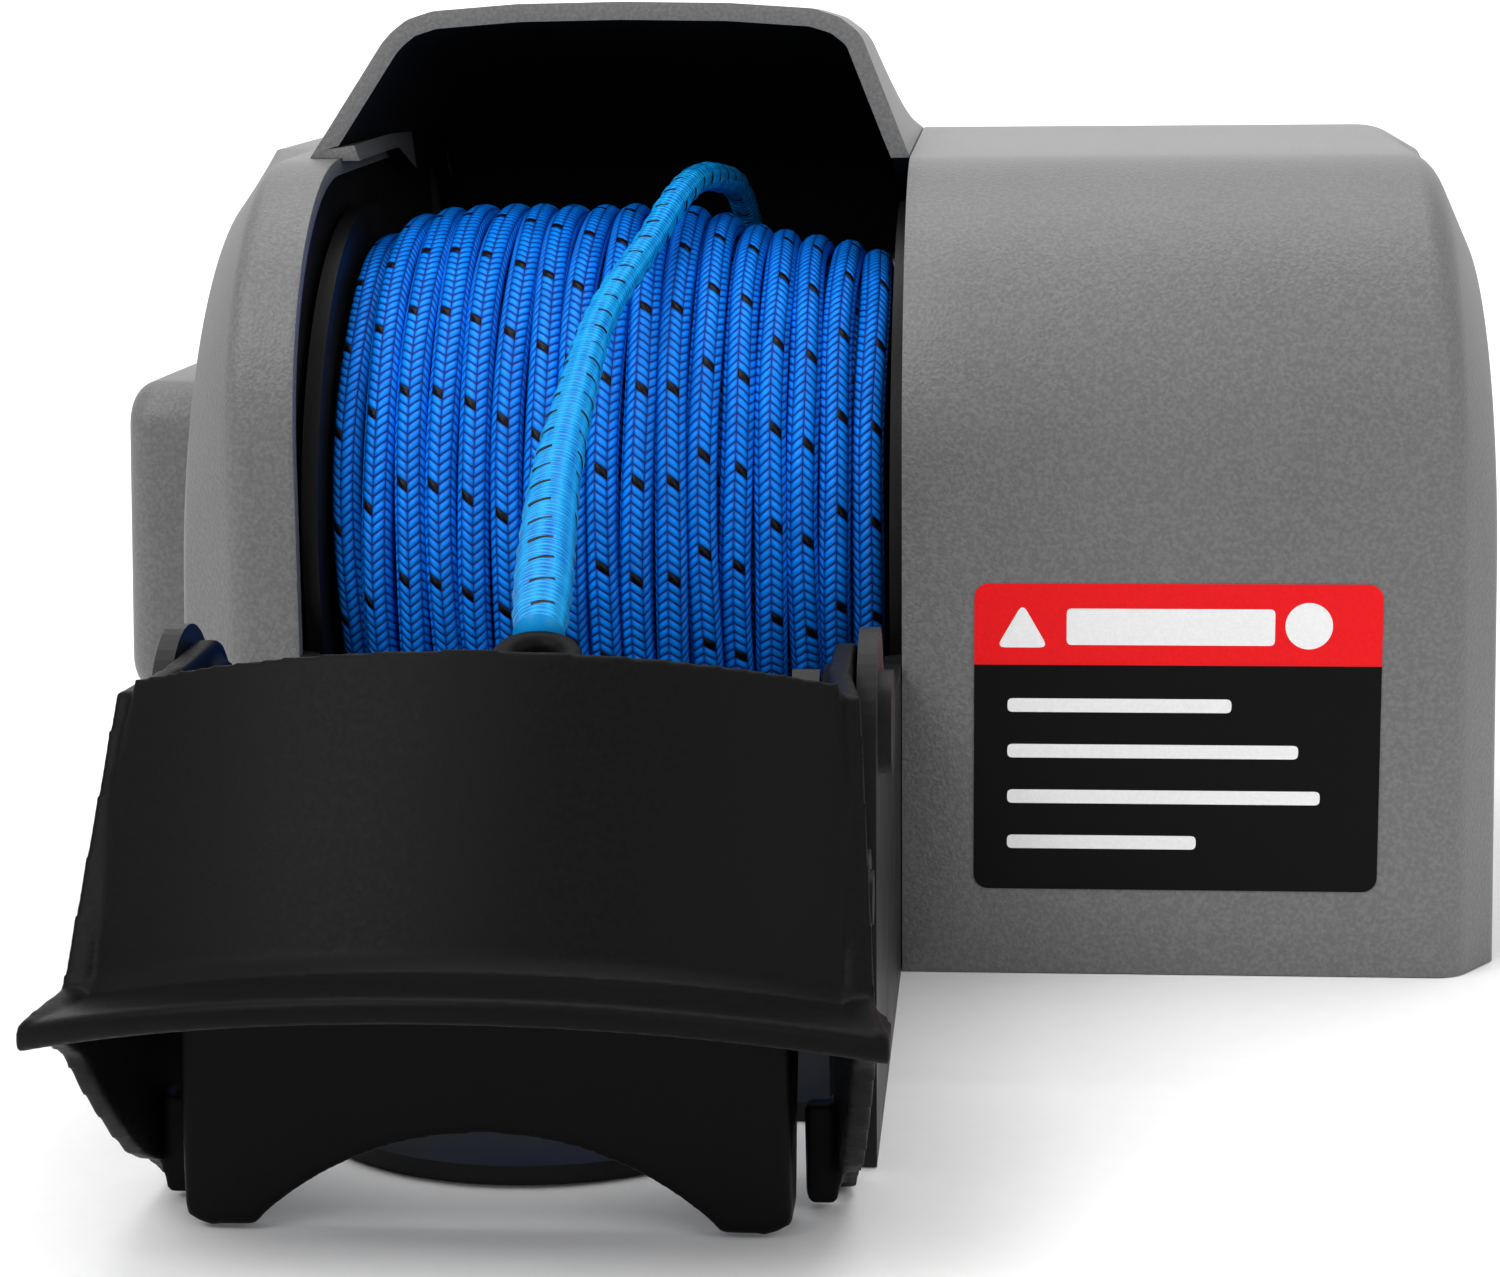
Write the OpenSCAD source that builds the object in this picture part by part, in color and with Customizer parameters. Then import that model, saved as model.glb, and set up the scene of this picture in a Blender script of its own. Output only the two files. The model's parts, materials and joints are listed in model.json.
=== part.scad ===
// Electric anchor windlass with a rope drum under a hood, a geared motor on the right
// and a tilting davit at the front. Millimetres. X runs along the drum axis, the front
// faces -Y, Z is up. The origin is the centre of the deck bolt pattern on the underside.

/* [Drum and rope] */
// height of the drum axis above the deck
axis_z = 76; // [75:0.5:77]
// how far behind the origin the drum axis lies (negative is forward)
axis_y = -17; // [-17:0.5:-15]
// radius of the drum end flanges
flange_r = 60.5; // [58:0.5:60.5]
// radius of the drum core tube
core_r = 20; // [17:1:22]
// half of the width between the flanges
drum_half = 52.5; // [51:0.5:52.5]
// thickness of each drum flange
flange_t = 3; // [2:0.5:3]
// pitch of the rope turns on the drum
rope_pitch = 6; // [5.8:0.1:6]
// radius of the rope in the wound pack
rope_r = 3.2; // [3.1:0.1:3.3]
// radius of the drum shaft
shaft_r = 7; // [6:0.5:7]

/* [Frame] */
// thickness of the steel plates
plate_t = 3; // [3:0.5:3]
// half of the clear width between the side plates
bay_half = 57; // [57:0.5:57.5]
// half of the clear width between the front arms
arm_half = 51.8; // [51.8:0.1:52]
// Y of the front edge of the arms
arm_front = -193.5; // [-195:0.5:-193]
// across spacing of the deck bolts
bolt_dx = 90; // [80:1:92]
// fore and aft spacing of the deck bolts
bolt_dy = 130; // [120:1:132]
// radius of each deck bolt hole
bolt_r = 4.3; // [3.3:0.1:4.5]

/* [Covers] */
// Y of the front face of the covers
front_y = -85; // [-86:0.5:-85]
// Y of the rear face of the covers
back_y = 85; // [85:0.5:87]
// moulded wall thickness
wall = 3; // [2.5:0.25:3]
// X of the motor cover's front corner at deck level
right_x = 155; // [154:0.5:156]
// X of the motor cover's end face at deck level
right_end = 163.3; // [162.5:0.1:167]
// X of the left cover's front corner at deck level
left_x = -66.6; // [-67:0.1:-66.4]
// X of the left cover's end face at deck level
left_end = -81.5; // [-83:0.5:-80]
// inward lean of the left cover's end face in degrees
draft = 1.5; // [1.25:0.25:1.75]
// inward lean of the motor cover's end face in degrees
right_draft = 0.8; // [0.6:0.1:1]
// inward lean of the motor cover's front corner in degrees
corner_draft = 1.2; // [1:0.1:1.4]
// height of the hood's crown
hood_top = 175.4; // [174:0.2:178]

/* [Davit] */
// Y of the davit pivot
pivot_y = -179; // [-179.5:0.5:-178.5]
// Z of the davit pivot
pivot_z = 66; // [65:0.5:67]
// radius of the ear round the pivot
ear_r = 14.5; // [13:0.5:15]
// radius of the cowl's outer face
cowl_r = 107; // [104:1:112]
// radius of the davit roller at its ends
roller_r = 12; // [10:0.5:12]

/* [Gears] */
// module of the drum stage teeth
mod_a = 2; // [2:0.5:2]
// module of the motor stage teeth
mod_b = 1.25; // [1.25:0.25:1.25]
// teeth on both large gears
teeth_big = 48; // [48:1:48]
// teeth on both small pinions
teeth_small = 12; // [12:1:12]

/* [Hidden] */
$fn = 96;

// colours
steel = [0.09, 0.09, 0.10];
zinc = [0.70, 0.71, 0.73];
brass = [0.72, 0.55, 0.25];
grey_shell = [0.43, 0.43, 0.44];
black_shell = [0.06, 0.06, 0.065];
rope_blue = [0.02, 0.48, 0.84];
label_red = [0.80, 0.08, 0.10];

// clearances
run = 0.06;
fit = 0.05;

// nose and back corner of the covers, seen from the side
nose_r = 52;
nose_y = front_y + nose_r;
nose_z = 94;
heel_r = 22;
heel_y = back_y - heel_r;
heel_z = 126.5;
chamfer_in = 11;
span_y = heel_y - nose_y;
span_z = heel_z - nose_z;
roof_tilt = atan2(span_z, span_y)
    - asin((nose_r - heel_r) / sqrt(span_y * span_y + span_z * span_z));
shell_half = 55;

// drive train places
idler_dir = -36;
motor_dir = 65;
cd_a = mod_a * (teeth_big + teeth_small) / 2;
cd_b = mod_b * (teeth_big + teeth_small) / 2;
idler_y = axis_y + cd_a * cos(idler_dir);
idler_z = axis_z + cd_a * sin(idler_dir);
motor_y = idler_y + cd_b * cos(motor_dir);
motor_z = idler_z + cd_b * sin(motor_dir);
plate_x = bay_half + plate_t;
gearbox_x = 88;
gearbox_t = 3;
motor_x = gearbox_x + gearbox_t;
can_r = 29;
axle_r = 5;
tie_yz = [[62, 20], [-66, 14], [62, 118]];
spacer_yz = [[-62, 30], [-58, 114], [72, 36], [73, 104]];
motor_bolt_r = 20;

// outlines of the covers' end faces: front corner radius, its centre Z, roof rise in
// degrees, roof point, and centre Z of the back corner
end_left = [66, 71.5, 17, [14, 146.2], 133.2];
end_right = [55, 73, 11, [17, 135.3], 128.9];
end_front = front_y + 13.3;
end_back_r = 14;

// rear screws of the covers: X and the Y of the tab's front face
tab_x = [-61.2, -40, 40, 80, 140];
tab_z = 10;
tab_high = 16;
function tab_half(x) = x < -shell_half ? 3.9 : 7;

// cable entry
gland_x = 120;
gland_z = 26;

// davit places
roller_y = -208;
roller_z = 46;
davit_half = 51.3;
davit_wall = 3.5;
wall_root_y = -197;
flare = 7;
cowl_tilt = 31.5;
cowl_y = -252.5;
cowl_z = 45;
cowl_len = 48;
cowl_t = 3.5;

// how much lower than the fullest layer each rope turn lies, from left to right
turn_drop = [5.5, 1.7, 0.6, 0.3, 0, 0, 0, 0, 0, 0.4, 0.8, 2, 4, 5, 6.2, 7.5, 9.5];

// the free rope: route of its centre line and its radius at each point
tail_pts = [[18, 6, 138.9], [16.4, -6, 140.6], [14.6, -18, 141.6], [12.6, -30, 140.9],
    [10.2, -43, 137.4], [7.6, -55, 131.9], [4.9, -67, 126.9], [2.5, -79, 122.4],
    [1.1, -91, 117.8], [0.7, -103, 113.2], [0.5, -115, 108.6], [0.3, -127, 103.6],
    [0.4, -140, 98.2], [1.0, -152, 93.7], [1.9, -164, 89.2], [2.9, -176, 84.7],
    [3.8, -187, 80.4]];
tail_r = [2.7, 2.7, 2.7, 2.7, 2.7, 2.7, 2.75, 2.85, 3.0, 3.2, 3.5, 3.8, 4.1, 4.35, 4.5,
    4.5, 3.9];
tail_sides = 12;

// ---------- helpers ----------

// a flat shape drawn as (Y, Z), made thick along X from x0
module along_x(x0, len) {
    translate([x0, 0, 0])
        rotate([90, 0, 90])
            linear_extrude(len)
                children();
}

// a flat shape drawn as (X, Z), made thick along Y from y0
module along_y(y0, len) {
    translate([0, y0 + len, 0])
        rotate([90, 0, 0])
            linear_extrude(len)
                children();
}

module rod_x(r, x0, len, y, z) {
    translate([x0, y, z])
        rotate([0, 90, 0])
            cylinder(r = r, h = len);
}

module rod_y(r, y0, len, x, z) {
    translate([x, y0 + len, z])
        rotate([90, 0, 0])
            cylinder(r = r, h = len);
}

// a profile drawn as (radius, X), turned round the line (y, z) along X
module turned_x(y, z) {
    translate([0, y, z])
        rotate([0, 90, 0])
            rotate_extrude()
                children();
}

module hex_x(across, x0, len, y, z, bore) {
    translate([x0, y, z])
        rotate([0, 90, 0])
            difference() {
                cylinder(r = across / sqrt(3), h = len, $fn = 6);
                translate([0, 0, -1])
                    cylinder(r = bore, h = len + 2);
            }
}

module both_sides() {
    children();
    mirror([1, 0, 0])
        children();
}

function arc_pts(cx, cy, r, a0, a1, n) =
    [for (i = [0:n]) [cx + r * cos(a0 + (a1 - a0) * i / n), cy + r * sin(a0 + (a1 - a0) * i / n)]];

// side outline shared by the covers and the side plates, moved inwards by d
function shell_pts(d, low) = concat(
    [[front_y + d, low]],
    arc_pts(nose_y, nose_z, nose_r - d, 180, 90 + roof_tilt, 14),
    arc_pts(heel_y, heel_z, heel_r - d, 90 + roof_tilt, 0, 8),
    [[back_y - d, low]]);

// outline of an end face, moved inwards by d
function end_pts(e, d, low) = concat(
    [[end_front - 1.2 + d, low]],
    arc_pts(end_front + e[0], e[1], e[0] - d, 180, 90 + e[2], 14),
    [[e[3][0], e[3][1] - d]],
    arc_pts(60, e[4], end_back_r - d, 90, 0, 8),
    [[74 - d, low]]);

// ---------- gear teeth ----------

pressure = 25;
backlash = 0.30;

// half angle of a tooth at radius r, for a gear of pitch radius rp with n teeth
function inv_deg(a) = tan(a) * 180 / PI - a;
function flank_angle(r, rb) = r <= rb ? 0 : acos(rb / r);
function half_tooth(r, rp, n) =
    90 / n - backlash / 2 / rp * 180 / PI / 2 + inv_deg(pressure)
    - inv_deg(flank_angle(max(r, rp * cos(pressure)), rp * cos(pressure)));

function polar(r, a) = [r * cos(a), r * sin(a)];

function gear_pts(m, n, add) =
    let (rp = m * n / 2)
    let (root = rp - 1.2 * m)
    let (low = max(root + 0.1, rp * cos(pressure)))
    let (tip = rp + add * m)
    [for (k = [0:n - 1])
        let (c = 360 * k / n)
        for (p = [
            polar(root, c - half_tooth(low, rp, n)),
            polar(low, c - half_tooth(low, rp, n)),
            polar(rp, c - half_tooth(rp, rp, n)),
            polar(tip, c - half_tooth(tip, rp, n)),
            polar(tip, c + half_tooth(tip, rp, n)),
            polar(rp, c + half_tooth(rp, rp, n)),
            polar(low, c + half_tooth(low, rp, n)),
            polar(root, c + half_tooth(low, rp, n))])
        p];

module gear_x(m, n, x0, len, y, z, turn) {
    translate([0, y, z])
        along_x(x0, len)
            rotate([0, 0, turn])
                polygon(gear_pts(m, n, 0.85));
}

// ---------- frame ----------

module base_plate() {
    main_front = -70;
    main_back = 79.5;
    tongue_round = 36;
    color(steel)
        difference() {
            union() {
                linear_extrude(plate_t)
                    polygon([[-74, main_front], [149, main_front], [149, main_back],
                        [-67.6, main_back], [-74, 74.4]]);
                translate([-arm_half, -172, 0])
                    cube([2 * arm_half, 103, plate_t]);
                translate([0, -168.6, 0])
                    cylinder(r = tongue_round, h = plate_t);
                for (x = tab_x)
                    translate([x - tab_half(x), abs(x) < shell_half ? 78.5 : 79, 0])
                        cube([2 * tab_half(x), plate_t, tab_high]);
            }
            for (x = [-1, 1], y = [-1, 1])
                translate([x * bolt_dx / 2, y * bolt_dy / 2, -1])
                    cylinder(r = bolt_r, h = plate_t + 2);
            for (x = tab_x)
                rod_y(1.6, 70, 20, x, tab_z);
        }
}

// rear plate beside the drum, drawn as (Y, Z)
module bay_plate_2d() {
    intersection() {
        polygon(shell_pts(wall + 0.5, plate_t));
        translate([-77, plate_t])
            square([150 + 77, 200]);
    }
}

// arm that carries the davit, drawn as (Y, Z)
module arm_2d() {
    polygon(concat(
        [[-81, 0], [arm_front, 0]],
        arc_pts(arm_front + ear_r, pivot_z, ear_r, 180, 52, 16),
        [[-150, 59], [-81, 57]]));
}

// right-hand plate: rear part, joggle and arm
module side_plate() {
    joggle = 58;
    difference() {
        union() {
            along_x(bay_half, plate_t)
                bay_plate_2d();
            linear_extrude(joggle)
                polygon([[bay_half, -70], [bay_half, -77.9], [arm_half, -81.9], [arm_half, -84],
                    [arm_half + plate_t, -84], [arm_half + plate_t, -81.5],
                    [bay_half + plate_t, -76.6], [bay_half + plate_t, -70]]);
            along_x(arm_half, plate_t)
                arm_2d();
        }
        rod_x(11 + fit, bay_half - 1, plate_t + 2, axis_y, axis_z);
        rod_x(axle_r + 0.1, arm_half - 1, plate_t + 2, arm_front + ear_r, pivot_z);
        for (p = tie_yz)
            rod_x(3 + fit, bay_half - 1, plate_t + 2, p[0], p[1]);
        // keep the plate on top of the base
        translate([bay_half - 1, -70.01, -1])
            cube([plate_t + 2, 170, plate_t + 1]);
    }
}

module left_side_plate() {
    color(steel)
        difference() {
            mirror([1, 0, 0])
                side_plate();
            // notch for the rear screw tab
            translate([-61, 77.7, -1])
                cube([5, 5, tab_high + 1.4]);
        }
}

module right_side_plate() {
    color(steel)
        difference() {
            side_plate();
            for (p = spacer_yz)
                rod_x(3 + fit, bay_half - 1, plate_t + 2, p[0], p[1]);
            rod_x(axle_r + fit, bay_half - 1, plate_t + 2, idler_y, idler_z);
        }
}

module tie_rods() {
    color(zinc)
        for (p = tie_yz) {
            rod_x(5, -bay_half, 2 * bay_half, p[0], p[1]);
            rod_x(3, -bay_half - plate_t - 5, 2 * (bay_half + plate_t + 5), p[0], p[1]);
        }
}

module tie_rod_nuts() {
    color(zinc)
        both_sides()
            for (p = tie_yz)
                hex_x(10, plate_x, 4.5, p[0], p[1], 3 + fit);
}

// ---------- covers ----------

// one thin slice of a cover: x at deck level, lean and outline
module slice(x, lean, pts) {
    translate([x, 0, 0])
        rotate([0, lean, 0])
            along_x(-0.01, 0.02)
                polygon(pts);
}

module motor_cover() {
    color(grey_shell)
        difference() {
            hull() {
                slice(shell_half, 0, shell_pts(0, 0));
                slice(right_x, -corner_draft, shell_pts(0, 0));
                slice(right_end, -right_draft, end_pts(end_right, 0, 0));
            }
            hull() {
                slice(shell_half - 1, 0, shell_pts(wall, -5));
                slice(right_x - 1.2, -corner_draft, shell_pts(wall, -5));
                slice(right_end - wall, -right_draft, end_pts(end_right, wall - 0.6, -5));
            }
            for (x = tab_x)
                if (x > shell_half)
                    rod_y(2.3, 70, 20, x, tab_z);
            rod_y(8.1, 70, 20, gland_x, gland_z);
        }
}

module left_cover() {
    color(grey_shell)
        difference() {
            hull() {
                slice(-shell_half, 0, shell_pts(0, 0));
                slice(left_x, 0.4, shell_pts(0, 0));
                slice(left_end, draft, end_pts(end_left, 0, 0));
            }
            hull() {
                slice(-shell_half + 1, 0, shell_pts(wall, -5));
                slice(left_x + 1.2, 0.4, shell_pts(wall, -5));
                slice(left_end + wall, draft, end_pts(end_left, wall - 0.6, -5));
            }
            rod_y(2.3, 70, 20, tab_x[0], tab_z);
            translate([left_end, 0, 0])
                rotate([0, draft, 0])
                    cap_slab(2.2, -5, 12);
        }
}

// square cap with round corners over the shaft end, seated on the leaning end face
cap_y = axis_y;
cap_z = 72.2;
cap_half = [28.5, 31.2];
cap_corner = 9;
cap_out = 17.5;

// outline of the cap as (Y, Z), moved inwards by d
function cap_pts(d) =
    let (r = cap_corner - min(d, 6), y = cap_half[0] - d - r, z = cap_half[1] - d - r)
    concat(
        arc_pts(cap_y + y, cap_z + z, r, 0, 90, 8),
        arc_pts(cap_y - y, cap_z + z, r, 90, 180, 8),
        arc_pts(cap_y - y, cap_z - z, r, 180, 270, 8),
        arc_pts(cap_y + y, cap_z - z, r, 270, 360, 8));

module cap_slab(d, x0, len) {
    along_x(x0, len)
        polygon(cap_pts(d));
}

module end_cap() {
    color(grey_shell)
        translate([left_end, 0, 0])
            rotate([0, draft, 0])
                union() {
                    difference() {
                        hull() {
                            cap_slab(0, -cap_out + 5, cap_out - 5.02);
                            cap_slab(1.6, -cap_out + 1.5, 1);
                            cap_slab(4.5, -cap_out, 1);
                        }
                        cap_slab(4.6, -cap_out + 3, cap_out);
                    }
                    difference() {
                        cap_slab(2.5, -0.5, 4.5);
                        cap_slab(4.6, -1, 6);
                    }
                }
}

hood_half = 54.7;

module hood_front_2d(d) {
    polygon([[-hood_half + d, 0], [hood_half - d, 0], [hood_half - d, 146 + d / 3],
        [45 - d, hood_top - 6 - d * 0.3], [41.7 - d * 0.8, hood_top - 3.4 - d * 0.6],
        [37 - d * 0.5, hood_top - 1.8 - d * 0.9], [20, hood_top - 0.5 - d], [0, hood_top - d],
        [-20, hood_top - 0.5 - d], [-37 + d * 0.5, hood_top - 1.8 - d * 0.9],
        [-41.7 + d * 0.8, hood_top - 3.4 - d * 0.6], [-45 + d, hood_top - 6 - d * 0.3],
        [-hood_half + d, 146 + d / 3]]);
}

hood_front_y = -33;

module drum_hood() {
    t = 3.5;
    low = 139.5;
    color(grey_shell)
        difference() {
            intersection() {
                union() {
                    along_y(hood_front_y, back_y - hood_front_y)
                        hood_front_2d(0);
                    along_y(hood_front_y, 70)
                        polygon([[-61, 146.2], [-45, 169.4], [-48, 146.2]]);
                }
                along_x(-60, 120)
                    polygon([[hood_front_y, 0], [hood_front_y, 177], [5, 177], [30, 173.6],
                        [50, 167.6], [66, 160.4], [78, 154], [back_y, 149.5], [back_y, 0]]);
            }
            intersection() {
                along_y(hood_front_y - 1, back_y - t - hood_front_y + 1)
                    hood_front_2d(t);
                along_x(-60, 120)
                    polygon([[hood_front_y - 1, 0], [hood_front_y - 1, 173.5], [4, 173.5],
                        [29, 170], [49, 164], [64.5, 157], [76.5, 150.5], [back_y - t, 147.6],
                        [back_y - t, 0]]);
            }
            translate([-60, hood_front_y - 1, -1])
                cube([120, back_y - t - hood_front_y + 1, low + 1]);
            along_y(hood_front_y - 1, 30)
                polygon([[-57.3, 146.9], [-42.4, 168.4], [-42.4, 146.9]]);
            for (x = tab_x)
                if (abs(x) < shell_half)
                    rod_y(2.3, 70, 20, x, tab_z);
            // the wide left foot rests on the left cover and narrows to the back
            along_x(-70, 15.1)
                polygon(shell_pts(-0.08, 0));
            linear_extrude(200)
                polygon([[-hood_half, 30], [-61.6, -26], [-70, -26], [-70, 90],
                    [-hood_half, 90]]);
        }
}

module cover_screws() {
    color(zinc)
        for (x = tab_x) {
            rod_y(1.55, 78, back_y - 78 + 0.5, x, tab_z);
            rod_y(4, back_y, 2.2, x, tab_z);
        }
}

label_x = [68, 140.5];
label_z = [15.8, 72];
label_t = 0.3;

module warning_label() {
    r = 3;
    color(label_red)
        along_y(front_y - label_t, label_t)
            polygon(concat(
                arc_pts(label_x[0] + r, label_z[0] + r, r, 270, 180, 5),
                arc_pts(label_x[0] + r, label_z[1] - r, r, 180, 90, 5),
                arc_pts(label_x[1] - r, label_z[1] - r, r, 90, 0, 5),
                arc_pts(label_x[1] - r, label_z[0] + r, r, 0, -90, 5)));
}

// ---------- drum ----------

module drum_spool() {
    edge = drum_half + flange_t;
    color(steel)
        turned_x(axis_y, axis_z)
            polygon([[shaft_r + fit, -edge], [flange_r, -edge], [flange_r, -drum_half],
                [core_r, -drum_half], [core_r, drum_half], [flange_r, drum_half],
                [flange_r, edge], [shaft_r + fit, edge], [shaft_r + fit, 40],
                [core_r - 4, 36], [core_r - 4, -36], [shaft_r + fit, -40]]);
}

module wound_rope() {
    turns = len(turn_drop);
    first = -rope_pitch * (turns - 1) / 2;
    color(rope_blue)
        turned_x(axis_y, axis_z)
            union() {
                for (i = [0:turns - 1]) {
                    c = flange_r - rope_r - turn_drop[i];
                    translate([core_r + 0.3, first + rope_pitch * i - rope_pitch / 2 - 0.001])
                        square([c - core_r - 0.3, rope_pitch + 0.002]);
                    translate([c, first + rope_pitch * i])
                        circle(r = rope_r);
                }
            }
}

module drum_shaft() {
    color(zinc)
        difference() {
            rod_x(shaft_r, -72, 167, axis_y, axis_z);
            translate([65, axis_y - 2 - fit, axis_z + 4.5])
                cube([12, 4 + 2 * fit, 5]);
        }
}

module drum_gear() {
    color(steel)
        difference() {
            union() {
                gear_x(mod_a, teeth_big, 66, 10, axis_y, axis_z, idler_dir);
                rod_x(13, 62.4, 4, axis_y, axis_z);
            }
            rod_x(shaft_r + fit, 60, 20, axis_y, axis_z);
            translate([60, axis_y - 2 - fit, axis_z])
                cube([20, 4 + 2 * fit, 9.05]);
            for (a = [0:60:300])
                rod_x(8, 60, 20, axis_y + 29 * cos(a), axis_z + 29 * sin(a));
        }
}

module drum_gear_key() {
    color(zinc)
        translate([66, axis_y - 2, axis_z + 4.55])
            cube([10, 4, 4.4]);
}

module shaft_washer() {
    color(zinc)
        difference() {
            rod_x(13, -64.4, 2, axis_y, axis_z);
            rod_x(shaft_r + fit, -66, 6, axis_y, axis_z);
        }
}

module shaft_nut() {
    color(zinc)
        hex_x(19, -70.9, 6.5, axis_y, axis_z, shaft_r + fit);
}

module gear_retaining_ring() {
    color(zinc)
        difference() {
            rod_x(shaft_r + 3, 76.1, 1.3, axis_y, axis_z);
            rod_x(shaft_r + fit, 74, 6, axis_y, axis_z);
        }
}

module bush(x0, body, flange_x) {
    difference() {
        union() {
            rod_x(11, x0, body, axis_y, axis_z);
            rod_x(14, flange_x, 2, axis_y, axis_z);
        }
        rod_x(shaft_r + run, x0 - 5, body + 12, axis_y, axis_z);
    }
}

module left_bearing() {
    color(brass)
        bush(-60.5, 4, -62);
}

module right_bearing() {
    color(brass)
        bush(56.5, 4, 60);
}

module outer_bearing() {
    color(brass)
        bush(gearbox_x - 0.5, gearbox_t + 1, gearbox_x + gearbox_t);
}

// ---------- free rope ----------

function unit(v) = v / norm(v);
function along(i) =
    unit(tail_pts[min(i + 1, len(tail_pts) - 1)] - tail_pts[max(i - 1, 0)]);
function sideways(i) = unit(cross(along(i), [0, 0, 1]));
function upward(i) = cross(sideways(i), along(i));

module rope_tail() {
    n = len(tail_pts);
    rings = [for (i = [0:n - 1], k = [0:tail_sides - 1])
        tail_pts[i] + tail_r[i] * (cos(360 * k / tail_sides) * sideways(i)
        + sin(360 * k / tail_sides) * upward(i))];
    skin = [for (i = [0:n - 2], k = [0:tail_sides - 1])
        [i * tail_sides + k, i * tail_sides + (k + 1) % tail_sides,
        (i + 1) * tail_sides + (k + 1) % tail_sides, (i + 1) * tail_sides + k]];
    start = [[for (k = [tail_sides - 1:-1:0]) k]];
    end = [[for (k = [0:tail_sides - 1]) (n - 1) * tail_sides + k]];
    color(rope_blue)
        polyhedron(points = rings, faces = concat(start, skin, end));
}

thimble_ring = 5.2;
thimble_wire = 2.2;

module rope_thimble() {
    n = len(tail_pts) - 1;
    away = thimble_ring + thimble_wire + 0.35;
    color(black_shell)
        translate(tail_pts[n] + away * along(n))
            rotate([atan2(-along(n)[2], -along(n)[1]), 0, 0])
                rotate_extrude()
                    translate([thimble_ring, 0])
                        circle(r = thimble_wire);
}

// ---------- drive ----------

module gearbox_plate() {
    color(steel)
        difference() {
            along_x(gearbox_x, gearbox_t)
                polygon([[-72, 8], [-72, 96], [-62, 122], [-44, 128], [76, 128], [79, 122],
                    [79, 12], [74, 8]]);
            rod_x(11 + fit, gearbox_x - 1, gearbox_t + 2, axis_y, axis_z);
            rod_x(axle_r + fit, gearbox_x - 1, gearbox_t + 2, idler_y, idler_z);
            rod_x(9, gearbox_x - 1, gearbox_t + 2, motor_y, motor_z);
            for (p = spacer_yz)
                rod_x(3 + fit, gearbox_x - 1, gearbox_t + 2, p[0], p[1]);
            for (a = [60, 240])
                rod_x(2.5 + fit, gearbox_x - 1, gearbox_t + 2,
                    motor_y + motor_bolt_r * cos(a), motor_z + motor_bolt_r * sin(a));
        }
}

module gearbox_spacers() {
    color(zinc)
        for (p = spacer_yz)
            difference() {
                rod_x(6, plate_x, gearbox_x - plate_x, p[0], p[1]);
                rod_x(3 + fit, plate_x - 1, 40, p[0], p[1]);
            }
}

module gearbox_bolts() {
    color(zinc)
        for (p = spacer_yz) {
            rod_x(3, bay_half, gearbox_x + gearbox_t + 1 - bay_half, p[0], p[1]);
            hex_x(10, gearbox_x + gearbox_t, 4, p[0], p[1], 0.5);
        }
}

module idler_gear() {
    color(steel)
        difference() {
            union() {
                gear_x(mod_a, teeth_small, 65, 13.5, idler_y, idler_z, idler_dir + 180 + 15);
                gear_x(mod_b, teeth_big, 78, 6, idler_y, idler_z, motor_dir);
                rod_x(8.5, 60.4, 5, idler_y, idler_z);
                rod_x(8.5, 83.5, 4.1, idler_y, idler_z);
            }
            rod_x(axle_r + run, 59, 30, idler_y, idler_z);
        }
}

module idler_axle() {
    color(zinc)
        rod_x(axle_r, bay_half, 36, idler_y, idler_z);
}

module idler_clip() {
    color(zinc)
        difference() {
            rod_x(axle_r + 2.5, motor_x, 1.2, idler_y, idler_z);
            rod_x(axle_r + fit, motor_x - 1, 4, idler_y, idler_z);
        }
}

module motor_front_plate() {
    color(zinc)
        difference() {
            rod_x(can_r + 1, motor_x, 4, motor_y, motor_z);
            rod_x(4 + run, motor_x - 1, 6, motor_y, motor_z);
            for (a = [60, 240])
                rod_x(2.5 + fit, motor_x - 1, 4,
                    motor_y + motor_bolt_r * cos(a), motor_z + motor_bolt_r * sin(a));
            // room for the idler axle end and its clip
            rod_x(9.5, motor_x - 1, 6, idler_y, idler_z);
        }
}

module motor_can() {
    color(steel)
        difference() {
            rod_x(can_r, motor_x + 4, 48, motor_y, motor_z);
            rod_x(can_r - 2.5, motor_x + 3, 50, motor_y, motor_z);
        }
}

module motor_end_bell() {
    color(zinc)
        turned_x(motor_y, motor_z)
            polygon([[0, motor_x + 60], [can_r - 9, motor_x + 60], [can_r - 2, motor_x + 56],
                [can_r - 2, motor_x + 52], [4 + run, motor_x + 52], [4 + run, motor_x + 56],
                [0, motor_x + 56]]);
}

module motor_magnets() {
    color(steel)
        difference() {
            rod_x(can_r - 2.55, motor_x + 8, 40, motor_y, motor_z);
            rod_x(can_r - 7, motor_x + 7, 42, motor_y, motor_z);
            translate([motor_x, motor_y - 4, motor_z - 40])
                cube([60, 8, 80]);
        }
}

module motor_rotor() {
    color(zinc)
        union() {
            gear_x(mod_b, teeth_small, 77.5, 7, motor_y, motor_z, motor_dir + 180 + 15);
            rod_x(4, 77, motor_x + 55.5 - 77, motor_y, motor_z);
            rod_x(can_r - 7.6, motor_x + 9, 38, motor_y, motor_z);
        }
}

module motor_screws() {
    color(zinc)
        for (a = [60, 240]) {
            y = motor_y + motor_bolt_r * cos(a);
            z = motor_z + motor_bolt_r * sin(a);
            rod_x(2.5, gearbox_x - 0.5, 6, y, z);
            rod_x(4, gearbox_x - 3, 3, y, z);
        }
}

module power_relay() {
    color(black_shell)
        difference() {
            translate([motor_x, -66, 40])
                cube([34, 34, 44]);
            translate([motor_x + 31, -50, 39])
                cube([4, 2, 46]);
        }
}

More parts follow.
